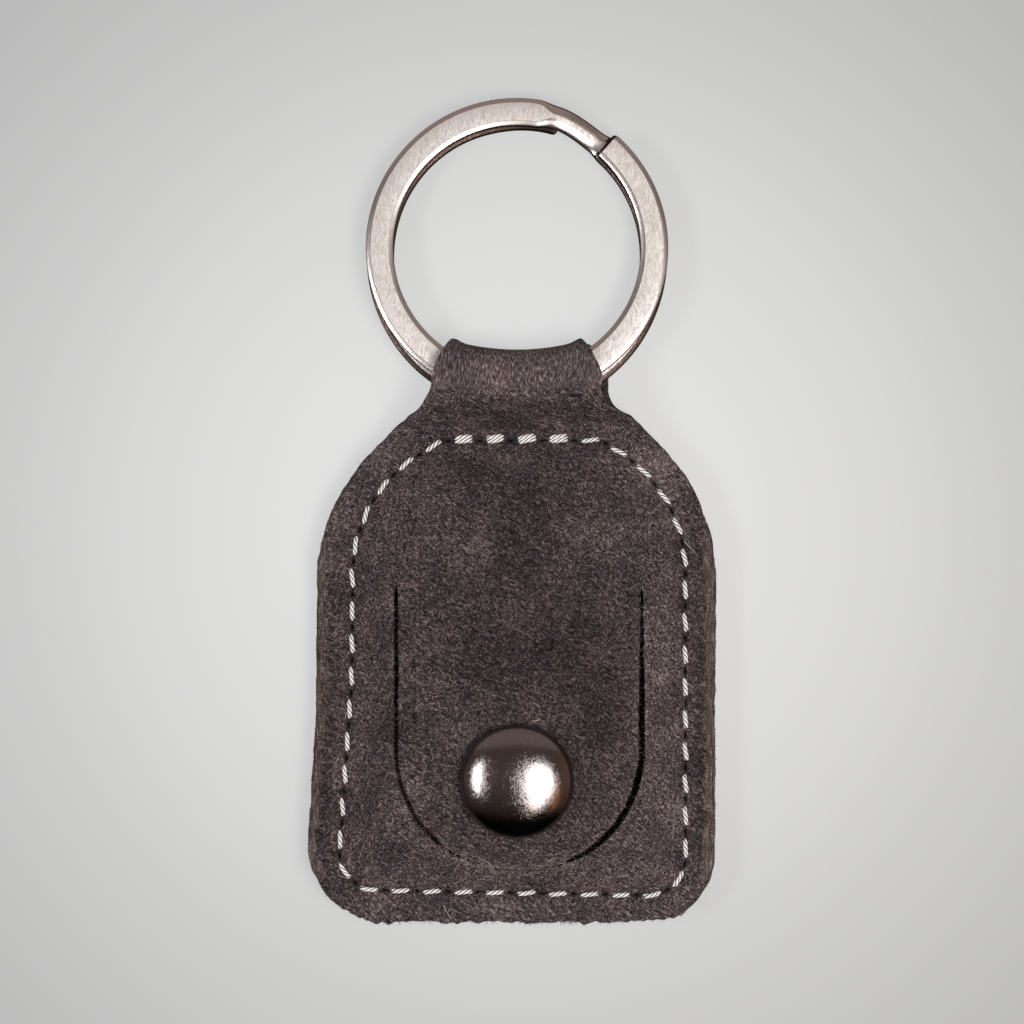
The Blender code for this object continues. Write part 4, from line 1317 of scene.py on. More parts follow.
    def flap(self) -> Object:
        """Makes the flap of the coin pocket."""
        loop = np.vstack([self.slit.tongue, self.slit.root])
        post = circle(SNAP_CENTRE, self.post_hole_radius, 28)
        seats = np.vstack([circle(SNAP_CENTRE, self.socket_seat_radius + off, 48) for off in (-0.04, 0.04)])
        grid = self.sheet.grid((-14, -23), (14, 8), self.grid_step * 0.9, [(loop, True), (post, True)], 0.4)
        guides = np.vstack([
            self.sheet.edge_guides(self.slit.tongue, False, 1.0)[3:-3], seats, grid,
        ])
        guides = guides[is_inside(guides, loop)]
        return self.sheet.solid("flap_leather", [loop, post], guides,
                                lambda flat: self.surfaces(flat, [(self.slit.tongue, False)]),
                                self.finishes())

    @staticmethod
    def clear_of(points: Array, marks: Array, room: float) -> Array:
        """The points that keep a distance from every mark."""
        cells = {}
        for mark in marks:
            cells.setdefault((int(mark[0] // 1), int(mark[1] // 1)), []).append(mark)
        kept = []
        for point in points:
            cx, cy = int(point[0] // 1), int(point[1] // 1)
            near = [m for i in (-1, 0, 1) for j in (-1, 0, 1) for m in cells.get((cx + i, cy + j), [])]
            if not near or np.linalg.norm(np.array(near) - point, axis=1).min() > room:
                kept.append(point)
        return np.array(kept)

    def surfaces(self, flat: Array, rims: list) -> tuple[Array, ...]:
        """Heights of the leather's two sides over the strap's outer line, and its tones.

        Args:
            flat: places on the flat blank.
            rims: the cut edges that are rounded.

        Returns:
            Heights of the outer side, heights of the inner side, the tone gain with its painted
            light and shade, where the front is raw, and the tone of a cut edge at each place.
        """
        on_front = flat[:, 1] < self.strap.apex_t
        spots = np.column_stack([flat[:, 0], self.strap.flat_y(flat[:, 1])])
        to_slit = np.where(on_front, distance_to(spots, self.slit.line, False), np.inf)
        drop = self.sheet.rounding(flat, rims) * np.where(to_slit < 1.0, self.slit_rounding, 1.0)
        near_root = smooth((self.slit.root_y - spots[:, 1]) / 1.2)
        over_root = np.abs(spots[:, 0] - self.slit.shift) < self.slit.half_width + 1
        at_slit = on_front & over_root & (spots[:, 1] > self.slit.root_y - 2)
        drop = np.where(at_slit & (np.abs(spots[:, 0]) < 15), drop * near_root, drop)
        fade = 1 - smooth(spots[:, 1] - NECK_SPAN[0])
        thick = self.strap.thickness(flat[:, 0], flat[:, 1])
        crown = np.where(on_front, self.relief.crown(spots), 0.0)
        rough = self.relief.rough(spots)
        swell = self.relief.grain * wander(flat, 1.1, 12)
        away = from_snap(spots)
        seam = np.abs(self.seam.depth_inside(spots))
        groove = -self.groove_depth * (1 - smooth((seam - 0.3) / self.groove_width))
        eyelet = np.where(away < self.eyelet_seat_radius, -self.eyelet_seat_depth, 0.0)
        back = np.minimum(groove, eyelet) - 0.3 * self.seam.dimples(spots) - np.abs(swell)
        high = np.where(on_front, crown + rough * fade + swell * (1 - fade), back) - drop
        stud = np.where(away < self.stud_seat_radius, self.stud_seat_depth, 0.0)
        socket = np.where(away < self.socket_seat_radius, self.socket_seat_depth, 0.0)
        low = crown - thick + np.where(on_front, socket, stud) + 0.5 * drop
        # On the back, the tone is painted darker as shade in the stitch groove.
        tone_and_painted_light = np.where(on_front, self.relief.tone_and_painted_light(spots), 1 - 0.5 * smooth(-groove / self.groove_depth))
        to_edge = distance_to(flat, rims[0][0], rims[0][1])
        raw = on_front & self.raw(spots, to_edge)
        # Painted shade in a crease just inside the raw band along each side.
        crease_shade = self.crease * bell(to_edge - self.raw_right - 0.2, self.crease_width)
        tone_and_painted_light = tone_and_painted_light * (1 - np.where(on_front & self.beside(spots), crease_shade, 0.0))
        # The slit's cut edges are painted near black as shade.
        edge = np.where(to_slit < 1.0, self.slit_painted_shade, self.edge_tone)
        return high, low, tone_and_painted_light, raw, edge

    @staticmethod
    def finishes() -> list[Material]:
        """The leather's finishes: nap outside, cut edge, flesh side inside."""
        return [shared(NUBUCK), shared(CUT_EDGE), shared(FLESH_SIDE)]


_MADE: dict[str, Material] = {}


def shared(finish: NappedLeather | CutEdge | WaxedThread | LooseFibre | PlatedMetal) -> Material:
    """The material of a finish, made once."""
    if finish.name not in _MADE:
        _MADE[finish.name] = finish.material()
    return _MADE[finish.name]


@dataclass
class Tube:
    """Collects tubes along paths into one mesh."""

    sides: int
    points: list[Array] = field(default_factory=list)
    faces: list[tuple[int, ...]] = field(default_factory=list)
    count: int = 0

    def add(self, path: Array, radius: Array | float, closed: bool, pointed: bool = False) -> None:
        """Adds one tube.

        Args:
            path: its centre line in space.
            radius: its radius, the same all along or one for each point.
            closed: whether it joins its own start.
            pointed: whether its last ring shrinks to one point.
        """
        way = tangents(path, closed)
        level = np.array((0.0, 0.0, 1.0))
        side = np.cross(way, level)
        size = np.linalg.norm(side, axis=1)[:, None]
        side = np.where(size > 1e-3, side / np.maximum(size, 1e-9), np.array((1.0, 0.0, 0.0)))
        rise = np.cross(side, way)
        radii = np.broadcast_to(np.asarray(radius, float), (len(path),))
        turn = np.linspace(0, math.tau, self.sides, endpoint=False)
        rings = (path[:, None] + radii[:, None, None] * (np.cos(turn)[None, :, None] * side[:, None]
                                                         + np.sin(turn)[None, :, None] * rise[:, None]))
        rows = len(path)
        start = self.count
        n = self.sides
        if pointed:
            self.points.append(np.vstack([rings[:-1].reshape(-1, 3), path[-1:]]))
            rows -= 1
            tip = start + rows * n
            self.faces += [(start + (rows - 1) * n + k, start + (rows - 1) * n + (k + 1) % n, tip)
                           for k in range(n)]
            self.count += rows * n + 1
        else:
            self.points.append(rings.reshape(-1, 3))
            self.count += rows * n
        last = rows if closed else rows - 1
        for row in range(last):
            a = start + row * n
            b = start + (row + 1) % rows * n
            for k in range(n):
                self.faces.append((a + k, a + (k + 1) % n, b + (k + 1) % n, b + k))
        if not closed:
            self.faces.append(tuple(start + k for k in reversed(range(n))))
            if not pointed:
                self.faces.append(tuple(start + (rows - 1) * n + k for k in range(n)))


@dataclass
class Stitching:
    """The lockstitched thread: three plies that dip into every awl hole."""

    seam: Seam
    plies: int = 3
    ply_radius: float = 0.125
    twist_radius: float = 0.125
    twist_pitch: float = 1.75
    ply_sides: int = 8
    station: float = 0.16
    visible_share: float = 0.15
    dip: float = 1.35
    front_level: float = 3.24
    back_level: float = 0.34
    slant: float = 0.1
    doubled: tuple[int, ...] = (41, 42, 43, 44)
    double_gap: float = 0.4

    def thread(self, name: str, level: float, dip: float) -> Object:
        """Makes the thread of one side.

        Args:
            name: the piece's name.
            level: height of the thread's middle on its stitches.
            dip: how far it sinks at the holes, below 0 if it rises.

        Returns:
            The new piece.
        """
        count = round(self.seam.length / self.station)
        along = np.linspace(0, self.seam.length, count, endpoint=False)
        tube = Tube(self.ply_sides)
        data = []
        turns = round(self.seam.length / self.twist_pitch)
        line, frames = self.course(along, level, dip, 0.0)
        for ply in range(self.plies):
            angle = math.tau * (turns * along / self.seam.length + ply / self.plies)
            tube.add(self.wound(line, frames, angle), self.ply_radius, True)
            data.append(self.marks(along, ply, angle))
        if dip > 0:
            for k in self.doubled:
                self.add_double(tube, data, k, level, dip)
        values = np.vstack(data)
        return mesh_piece(name, np.vstack(tube.points), tube.faces, [shared(THREAD)], None,
                          {"ply": values[:, :3], "crown": values[:, 3]}, 80.0)

    def add_double(self, tube: Tube, data: list[Array], k: int, level: float, dip: float) -> None:
        """Lays a second strand beside a stitch, where the thread was started and locked."""
        start = float(self.seam.holes[k - 1])
        end = float(self.seam.holes[k])
        along = np.linspace(start, end, 22)
        line, frames = self.course(along, level + 0.03, dip, self.double_gap)
        for ply in range(self.plies):
            angle = math.tau * (along / self.twist_pitch + (ply + 0.4) / self.plies)
            tube.add(self.wound(line, frames, angle), self.ply_radius, False)
            data.append(self.marks(along, ply, angle))

    def course(self, along: Array, level: float, dip: float,
               aside: float) -> tuple[Array, tuple[Array, Array]]:
        """Centre line of the thread and the frame round it."""
        spots, ways = self.seam.point(along)
        phase = self.seam.phase(along)
        sink = smooth((np.abs(phase) - self.visible_share) / (0.5 - self.visible_share))
        side = np.column_stack([ways[:, 1], -ways[:, 0]])
        slant = self.slant * (0.8 + wander(spots, 5.0, 21)) * np.sin(math.tau * phase)
        spots = spots + side * (aside * (1 - sink * 0.6) - slant)[:, None]
        line = np.column_stack([spots, level - dip * sink])
        across = np.column_stack([side, np.zeros(len(side))])
        return line, (across, np.array((0.0, 0.0, 1.0)))

    def wound(self, line: Array, frames: tuple[Array, Array],
              angle: Array) -> Array:
        """One ply's own line, wound round the thread's."""
        across, rise = frames
        return line + self.twist_radius * (np.cos(angle)[:, None] * across + np.sin(angle)[:, None] * rise)

    def marks(self, along: Array, ply: int, angle: Array) -> Array:
        """Coordinates along and round a ply, and how far out of the grooves each place stands."""
        turn = np.linspace(0, math.tau, self.ply_sides, endpoint=False)
        run, spin = np.meshgrid(along, turn, indexing="ij")
        # The crown value sets the thread's painted shade, dark in the grooves between plies.
        crown = smooth((np.abs(np.cos((angle[:, None] - spin) / 2)) - 0.68) / 0.32)
        return np.column_stack([run.ravel(), self.ply_radius * np.cos(spin).ravel() + ply,
                                self.ply_radius * np.sin(spin).ravel(), crown.ravel()])


@dataclass
class KeyRing:
    """The split ring: one flat wire wound twice, its turns nested a little out of line."""

    centre: Vector
    axis: Vector
    outer_radius: float = 16.0
    wire_width: float = 2.9
    wire_thickness: float = 1.1
    # Each edge of the flat wire is rolled over in a quarter ellipse, rounder where the wire is bent.
    bevel_width: float = 0.5
    bevel_height: float = 0.18
    bent_bevel_width: float = 1.2
    bent_bevel_height: float = 0.52
    bent_width: float = 0.86
    # Roundness of an edge: 1 would be a straight chamfer, 2 is a quarter ellipse.
    roundness: float = 1.25
    bent_roundness: float = 2.0
    # Up to this rise from the flat side, the rolled edge is painted dark as shade with the side.
    side_rise: float = 0.2
    bent_side_rise: float = 0.42
    # Over this first stretch, the wire's upper end is painted dark as shade.
    end_shade_deg: float = 1.1
    coil_gap: float = 0.42
    turns_deg: float = 698.0
    top_end_deg: float = 49.6
    ramp_start_deg: float = 335.0
    ramp_end_deg: float = 357.0
    # How far the lower turn is shifted towards the pouch, and how much more so near it.
    lower_shift: float = 0.62
    lower_swing: float = 0.42
    lower_settle_deg: float = 34.0
    end_round: float = 0.5
    end_narrow: float = 0.3
    station_deg: float = 2.0
    corner_steps: int = 6

    def section(self, swell: float, shaded: bool) -> tuple[list[tuple[float, float]], list[int]]:
        """The wire's section and the finish of each of its sides.

        Args:
            swell: how much rounder the wire is here, from 0 to 1.
            shaded: whether its edges are painted dark as shade.

        Returns:
            Points (outwards, up), and for each side 0 if satin, 1 if bright and 2 if painted dark as shade.
        """
        wide = self.wire_width / 2
        tall = self.wire_thickness / 2
        a = between(self.bevel_width, self.bent_bevel_width, swell)
        b = between(self.bevel_height, self.bent_bevel_height, swell)
        power = 2 / between(self.roundness, self.bent_roundness, swell)
        side_rise = between(self.side_rise, self.bent_side_rise, swell)
        points = []
        kinds = []
        for corner, (sx, sz) in enumerate(((1, 1), (-1, 1), (-1, -1), (1, -1))):
            for k in range(self.corner_steps + 1):
                share = k / self.corner_steps
                rise = math.pi / 2 * (share if corner in (0, 2) else 1 - share)
                points.append((sx * (wide - a + a * abs(math.cos(rise)) ** power),
                               sz * (tall - b + b * abs(math.sin(rise)) ** power)))
                # The flat sides and the edges next to them are painted dark as shade.
                kinds.append(2 if shaded or rise < side_rise else 1)
            kinds[-1] = 0 if corner in (0, 2) else 2
        return points, kinds

    def stations(self) -> list[float]:
        """How far the wire has turned at each of its sections, closer together at its ends."""
        fine = [0.15, 0.4, 0.75, 1.2]
        count = round(self.turns_deg / self.station_deg)
        even = [self.turns_deg * k / count for k in range(count + 1)]
        return sorted([*even, *fine, *(self.turns_deg - step for step in fine)])

    def wire(self) -> Object:
        """Makes the wound wire."""
        middle = self.outer_radius - self.wire_width / 2
        step = (self.wire_thickness + self.coil_gap) / 2
        rows = []
        kinds = []
        for turned in self.stations():
            angle = math.radians(self.top_end_deg - turned)
            share = (turned - self.ramp_start_deg) / (self.ramp_end_deg - self.ramp_start_deg)
            low = float(smooth(share))
            swell = float(smooth(2.4 - abs(share - 0.45) * 3.2))
            to_end = math.radians(min(turned, self.turns_deg - turned)) * middle
            blunt = 1 - math.sqrt(max(0.0, 1 - max(0.0, 1 - to_end / self.end_round) ** 2))
            narrow = (1 - (1 - self.bent_width) * swell) * (1 - self.end_narrow * blunt)
            # The lower turn past the ramp and the wire's upper end are painted dark as shade.
            shaded = turned > self.ramp_end_deg or turned < self.end_shade_deg
            points, sides = self.section(swell, shaded)
            if turned < self.end_shade_deg:
                sides = [2] * len(sides)
            kinds.append(sides)
            lift = step - 2 * step * low
            settled = float(smooth((self.turns_deg - turned) / self.lower_settle_deg))
            down = (self.lower_shift - self.lower_swing * math.sin(angle)) * low * settled
            rows.append([((middle + out * narrow) * math.cos(angle),
                          (middle + out * narrow) * math.sin(angle) - down,
                          lift + up) for out, up in points])
        size = len(rows[0])
        points = np.array(rows).reshape(-1, 3)
        faces = []
        slots = []
        for row in range(len(rows) - 1):
            for k in range(size):
                a = row * size + k
                b = row * size + (k + 1) % size
                faces.append((a, a + size, b + size, b))
                slots.append(kinds[row][k])
        last = (len(rows) - 1) * size
        faces.append(tuple(range(size)))
        faces.append(tuple(reversed(range(last, last + size))))
        # Both cut ends of the wire are painted dark as shade.
        slots += [2, 2]
        turn = Vector((0, 0, 1)).rotation_difference(self.axis).to_matrix()
        points = points @ np.array(turn).T + np.array(self.centre) / MM
        finishes = [shared(SATIN_NICKEL), shared(BRIGHT_NICKEL), shared(SHADED_NICKEL)]
        return mesh_piece("key_ring_wire", points, faces, finishes, np.array(slots), None, 40.0)


@dataclass(frozen=True)
class Turned:
    """A turned or pressed round piece of the snap."""

    name: str
    node: str
    body: Body
    slot: Slot
    finish: PlatedMetal
    profile: tuple[Point, ...]
    steps: int = 72

    def piece(self, centre: Point) -> Object:
        """Turns the profile, given as (radius, height), round the snap's axis."""
        rings = []
        points = []
        for radius, height in self.profile:
            if radius == 0:
                rings.append([len(points)] * self.steps)
                points.append((centre[0], centre[1], height))
                continue
            rings.append([len(points) + k for k in range(self.steps)])
            points += [(centre[0] + radius * math.cos(math.tau * k / self.steps),
                        centre[1] + radius * math.sin(math.tau * k / self.steps), height)
                       for k in range(self.steps)]
        pairs = list(zip(rings, rings[1:]))
        if self.profile[0][0] > 0:
            pairs.append((rings[-1], rings[0]))
        faces = []
        for upper, lower in pairs:
            for k in range(self.steps):
                n = (k + 1) % self.steps
                corners = [upper[k], lower[k], lower[n], upper[n]]
                face = tuple(dict.fromkeys(corners))
                if len(face) > 2:
                    faces.append(face)
        return mesh_piece(self.name, np.array(points), faces, [shared(self.finish)], None, None, 30.0)


@dataclass
class Snap:
    """The press stud: cap, post, socket and spring on the flap, stud and eyelet on the back."""

    cap_radius: float = 6.0
    cap_foot: float = 5.52
    cap_height: float = 2.9
    cap_rim: float = 0.55
    cap_sheet: float = 0.35
    cap_lip: float = 1.0
    socket_top: float = 4.28
    socket_foot: float = 2.0
    socket_radius: float = 4.9
    socket_bore: float = 2.48
    socket_wall: float = 1.15
    stud_foot: float = 1.27
    stud_top: float = 3.29
    eyelet_foot: float = 0.08
    post_radius: float = 1.7
    spring_wire: float = 0.5
    spring_gap_deg: float = 60.0

    def cap_profile(self) -> tuple[Point, ...]:
        """The domed cap in section: dome, rolled rim and the hollow inside."""
        steps = 30
        dome = self.cap_height - self.cap_rim
        inner = self.cap_radius - self.cap_sheet
        foot = self.cap_foot
        turns = [math.pi / 2 * k / steps for k in range(steps + 1)]
        profile = [(self.cap_radius * math.sin(a), foot + self.cap_rim + dome * math.cos(a)) for a in turns]
        roll = self.cap_rim / 2
        for k in range(1, 9):
            a = math.pi / 2 * k / 8
            profile.append((self.cap_radius - roll + roll * math.cos(a), foot + roll - roll * math.sin(a)))
        lip = self.cap_radius - self.cap_lip
        profile += [(lip, foot), (lip, foot + self.cap_sheet), (inner, foot + self.cap_sheet)]
        profile += [(inner * math.sin(a), foot + self.cap_rim + (dome - self.cap_sheet) * math.cos(a))
                    for a in reversed(turns)]
        return tuple(profile)

    def pieces(self) -> list[Turned]:
        """Lists the snap's turned pieces."""
        foot = self.socket_foot
        top = self.socket_top
        neck = self.socket_bore + self.socket_wall
        post = ((0, 6.34), (5.3, 6.34), (5.42, 6.2), (5.42, 6.05), (5.3, 5.99), (self.post_radius, 5.99),
                (self.post_radius, 3.71), (2.05, 3.71), (2.15, 3.64), (2.15, 3.56), (1.5, 3.41), (1.3, 3.56),
                (1.3, 5.99), (0, 5.99))
        socket = ((1.82, top), (4.7, top), (self.socket_radius, top - 0.12), (self.socket_radius, top - 0.7),
                  (4.75, top - 0.82), (neck, top - 1.05), (neck, foot + 0.3), (neck - 0.09, foot + 0.09),
                  (neck - 0.3, foot), (2.6, foot), (self.socket_bore, foot + 0.1),
                  (self.socket_bore, foot + 0.18), (3.05, foot + 0.18), (3.05, foot + 0.92),
                  (self.socket_bore, foot + 0.92), (self.socket_bore, top - 0.45), (1.82, top - 0.45))
        stud = ((1.9, self.stud_top), (2.02, self.stud_top - 0.1), (2.1, 2.87), (2.06, 2.6), (1.9, 2.2),
                (1.9, 1.7), (2.0, 1.62), (3.8, 1.62), (3.9, 1.55), (3.9, self.stud_foot),
                (1.42, self.stud_foot), (1.42, 1.62), (1.68, 1.66), (1.68, self.stud_top - 0.05))
        eyelet = ((0.95, 1.99), (1.3, 1.97), (1.5, 1.86), (1.5, 1.74), (1.3, 1.74), (1.3, 0.55), (1.45, 0.43),
                  (3.9, 0.43), (4.0, 0.33), (3.95, 0.16), (3.75, self.eyelet_foot), (1.5, self.eyelet_foot),
                  (1.15, 0.16), (0.95, 0.4))
        return [
            Turned("snap_dome", "snap_cap", Body.FLAP, Slot.GUNMETAL, GUNMETAL, self.cap_profile(), 128),
            Turned("snap_post", "cap_post", Body.FLAP, Slot.BRASS, NICKELLED_BRASS, post),
            Turned("snap_socket_ring", "snap_socket", Body.FLAP, Slot.GUNMETAL, GUNMETAL, socket),
            Turned("snap_stud_head", "snap_stud", Body.POUCH, Slot.GUNMETAL, GUNMETAL, stud),
            Turned("snap_eyelet", "stud_eyelet", Body.POUCH, Slot.GUNMETAL, GUNMETAL, eyelet),
        ]

    def spring(self) -> Object:
        """Makes the open spring ring in the socket's groove."""
        radius = self.socket_bore + self.spring_wire / 2 - 0.05
        height = self.socket_foot + self.spring_wire / 2 + 0.3
        gap = math.radians(self.spring_gap_deg)
        turn = np.linspace(gap / 2, math.tau - gap / 2, 60)
        path = np.column_stack([SNAP_CENTRE[0] + radius * np.cos(turn),
                                SNAP_CENTRE[1] + radius * np.sin(turn), np.full(60, height)])
        tube = Tube(10)
        tube.add(path, self.spring_wire / 2, False)
        return mesh_piece("snap_spring", np.vstack(tube.points), tube.faces, [shared(NICKELLED_BRASS)])


@dataclass
class Hairs:
    """Collects tapering hairs into one mesh, with a tone for each."""

    rng: random.Random
    thickness: float = 0.026
    tube: Tube = field(default_factory=lambda: Tube(3))
    tones: list[float] = field(default_factory=list)

    def lay(self, path: Array, radius: Array, tone: float) -> None:
        """Adds one hair along a path, with a radius for each of its points."""
        before = self.tube.count
        self.tube.add(path, radius, False, True)
        self.tones += [tone] * (self.tube.count - before)

    def grow(self, start: Array, way: Array, length: float, tone: float) -> None:
        """Adds one tapering, slightly curled hair.

        Args:
            start: where it grows.
            way: the direction in which it leaves.
            length: its length.
            tone: its paleness, from 0 to 1.
        """
        way = way / max(np.linalg.norm(way), 1e-9)
        curl = np.array([self.rng.uniform(-1, 1), self.rng.uniform(-1, 1), self.rng.uniform(-0.5, 0.5)])
        shares = np.array((0.0, 0.4, 0.75, 1.0))[:, None]
        path = start + way * length * shares + curl * length * 0.35 * shares ** 2
        self.lay(path, self.thickness * np.array((1.0, 0.85, 0.55, 0.1)), tone)

    def piece(self, name: str) -> Object:
        """Writes the hairs as one piece."""
        return mesh_piece(name, np.vstack(self.tube.points), self.tube.faces, [shared(FIBRE)], None,
                          {"tone": np.array(self.tones)}, 80.0)


@dataclass
class Fibres:
    """Loose fibres: along the raw edges, across the slit, in tufts and lying on the nap."""

    pouch: Pouch
    edge_per_mm: float = 9.0
    edge_share: float = 0.35
    base_share: float = 0.7
    # The strap's sides keep no hairs from here on, where the wire turns past them.
    clear_of_wire_y: float = 28.4
    slit_per_mm: float = 4.0
    tangle_count: int = 150
    nap_count: int = 850
    # Tufts on the base as (x, y, fibres), and single pale hairs from one place to another.
    tufts: tuple[tuple[float, float, int], ...] = (
        (-15.6, -27.3, 60), (-13.6, -27.6, 40), (-4.9, -27.7, 60), (-3.2, -27.8, 30), (0.9, -27.9, 70),
        (5.4, -27.9, 60), (-9.4, -27.8, 40), (10.4, -27.6, 30), (-16.9, -26.6, 40), (2.6, -27.8, 30),
    )
    pouch_hairs: tuple[tuple[float, ...], ...] = (
        (17.6, 12.7, 19.1, 11.1), (-7.8, -25.9, -6.8, -27.7), (17.5, -2.0, 18.8, -3.0),
        (5.7, -25.75, 6.4, -25.85), (-16.1, -2.35, -15.75, -2.25), (-17.6, -5.3, -18.4, -6.2),
    )
    flap_hairs: tuple[tuple[float, ...], ...] = (
        (-4.2, -20.6, -2.9, -21.3), (3.1, -21.1, 4.4, -20.7), (2.3, -5.9, 1.5, -6.6),
    )

    def pouch_fibres(self) -> Object:
        """Makes the fibres that ride on the pouch and its strap."""
        rng = random.Random(FIBRE_SEED)
        hairs = Hairs(rng)
        strap = self.pouch.strap
        edge = resample(self.pouch.outline(), 1 / self.edge_per_mm, True)
        out = outward_of(edge, True)
        base, normal, along = strap.place(edge[:, 0], edge[:, 1])
        inward = strap.inward(edge[:, 1], normal)
        level = strap.flat_y(edge[:, 1])
        at_base = level < self.pouch.base_y
        for k in range(len(edge)):
            share = self.base_share if at_base[k] else self.edge_share
            if level[k] > self.clear_of_wire_y or rng.random() > share:
                continue
            push = out[k, 0] * np.array((1.0, 0, 0)) + out[k, 1] * along[k]
            longest = 0.42 if at_base[k] else 0.3
            start = base[k] - inward[k] * rng.uniform(0.1, 1.3) - push * 0.06
            way = push + np.array([rng.uniform(-0.9, 0.9), rng.uniform(-0.9, 0.9), rng.uniform(-0.3, 0.3)])
            start[2] = max(start[2], 0.12)
            way[2] = max(way[2], -0.05)
            hairs.grow(start, way, rng.uniform(0.1, longest), rng.uniform(0.0, 0.5))
        for x, y, count in self.tufts:
            for _ in range(count):
                spot = np.array((x + rng.gauss(0, 0.55), y + 0.25, rng.uniform(0.5, 3.1)))
                way = np.array((rng.gauss(0, 0.7), -1.0, rng.gauss(0, 0.15)))
                hairs.grow(spot, way, rng.uniform(0.25, 0.8), rng.uniform(0.05, 0.6))
        self.slit_hairs(hairs, self.pouch.slit.window, -1.0)
        self.tangle(hairs, 0.35)
        self.nap(hairs, False)
        self.long_hairs(hairs, self.pouch_hairs)
        return hairs.piece("pouch_fibres")

    def flap_fibres(self) -> Object:
        """Makes the fibres that ride on the flap."""
        hairs = Hairs(random.Random(FIBRE_SEED + 1))
        self.slit_hairs(hairs, self.pouch.slit.tongue, 1.0)
        self.tangle(hairs, -0.35)
        self.nap(hairs, True)
        self.long_hairs(hairs, self.flap_hairs)
        return hairs.piece("flap_fibres")

    def height(self, spots: Array) -> Array:
        """Height of the front leather at places on it."""
        base, _, _ = self.pouch.strap.place(spots[:, 0], self.pouch.strap.front_t(spots[:, 1]))
        return base[:, 2] + self.pouch.relief.crown(spots) + self.pouch.relief.rough(spots)

    def slit_hairs(self, hairs: Hairs, edge: Array, outward: float) -> None:
        """Adds the hairs that reach across the slit from one of its edges."""
        rng = hairs.rng
        line = resample(edge[4:-4], 1 / self.slit_per_mm, False)
        out = outward_of(line, False) * outward
        for spot, push, top in zip(line, out, self.height(line)):
            start = np.array((*(spot - push * 0.05), top - rng.uniform(0.12, 0.5)))
            way = np.array((push[0] + rng.uniform(-0.8, 0.8), push[1] + rng.uniform(-0.8, 0.8),
                            rng.uniform(0.0, 0.45)))
            hairs.grow(start, way, rng.uniform(0.12, 0.4), rng.uniform(0.1, 0.8))

    def tangle(self, hairs: Hairs, side: float) -> None:
        """Adds the tangle where the slit's tip was never quite cut through."""
        rng = hairs.rng
        line = self.pouch.slit.line
        middle = line[round(len(line) * 0.38):round(len(line) * 0.58)]
        out = outward_of(middle, False)
        picks = [rng.randrange(len(middle)) for _ in range(self.tangle_count)]
        spots = np.array([middle[k] + out[k] * rng.gauss(side, 0.3) for k in picks])
        for spot, top in zip(spots, self.height(spots)):
            angle = rng.uniform(0, math.tau)
            way = np.array((math.cos(angle), 0.6 * math.sin(angle), rng.uniform(0.05, 0.4)))
            start = np.array((*spot, top - 0.02))
            hairs.grow(start, way, rng.uniform(0.3, 0.9), rng.uniform(0.3, 0.95))

    def nap(self, hairs: Hairs, on_flap: bool) -> None:
        """Adds fibres that lie on the nap, on the flap or around it."""
        rng = hairs.rng
        slit = self.pouch.slit
        share = 0.3 if on_flap else 0.7
        tongue = np.vstack([slit.tongue, slit.root])
        spots = []
        while len(spots) < self.nap_count * share:
            tries = np.array([(rng.uniform(-21.5, 21.5), rng.uniform(-27, 23)) for _ in range(600)])
            if on_flap:
                keep = is_inside(tries, tongue)
            else:
                keep = is_inside(tries, self.pouch.front) & ~is_inside(tries, slit.hole)
            spots += tries[keep & (from_snap(tries) > 6.1)].tolist()
        spots = np.array(spots)
        for (x, y), top in zip(spots, self.height(spots)):
            angle = rng.uniform(0, math.tau)
            way = np.array((math.cos(angle), math.sin(angle), rng.uniform(0.02, 0.16)))
            start = np.array((x, y, top - 0.015))
            hairs.grow(start, way, rng.uniform(0.35, 0.95), rng.uniform(0.2, 0.85))

    def long_hairs(self, hairs: Hairs, ends: tuple[tuple[float, ...], ...]) -> None:
        """Adds single long pale hairs that lie on the leather, each given by its two ends."""
        shares = np.linspace(0, 1, 7)
        for x0, y0, x1, y1 in ends:
            flat = np.column_stack([np.interp(shares, (0, 1), (x0, x1)), np.interp(shares, (0, 1), (y0, y1))])
            sway = 0.12 * np.sin(shares * math.pi * 1.6 + hairs.rng.uniform(0, 3))
            flat = flat + np.column_stack([sway, -sway])
            path = np.column_stack([flat, self.height(flat) + 0.04 + 0.12 * np.sin(shares * math.pi)])
            hairs.lay(path, np.linspace(hairs.thickness * 1.3, hairs.thickness * 0.5, 7), 1.0)


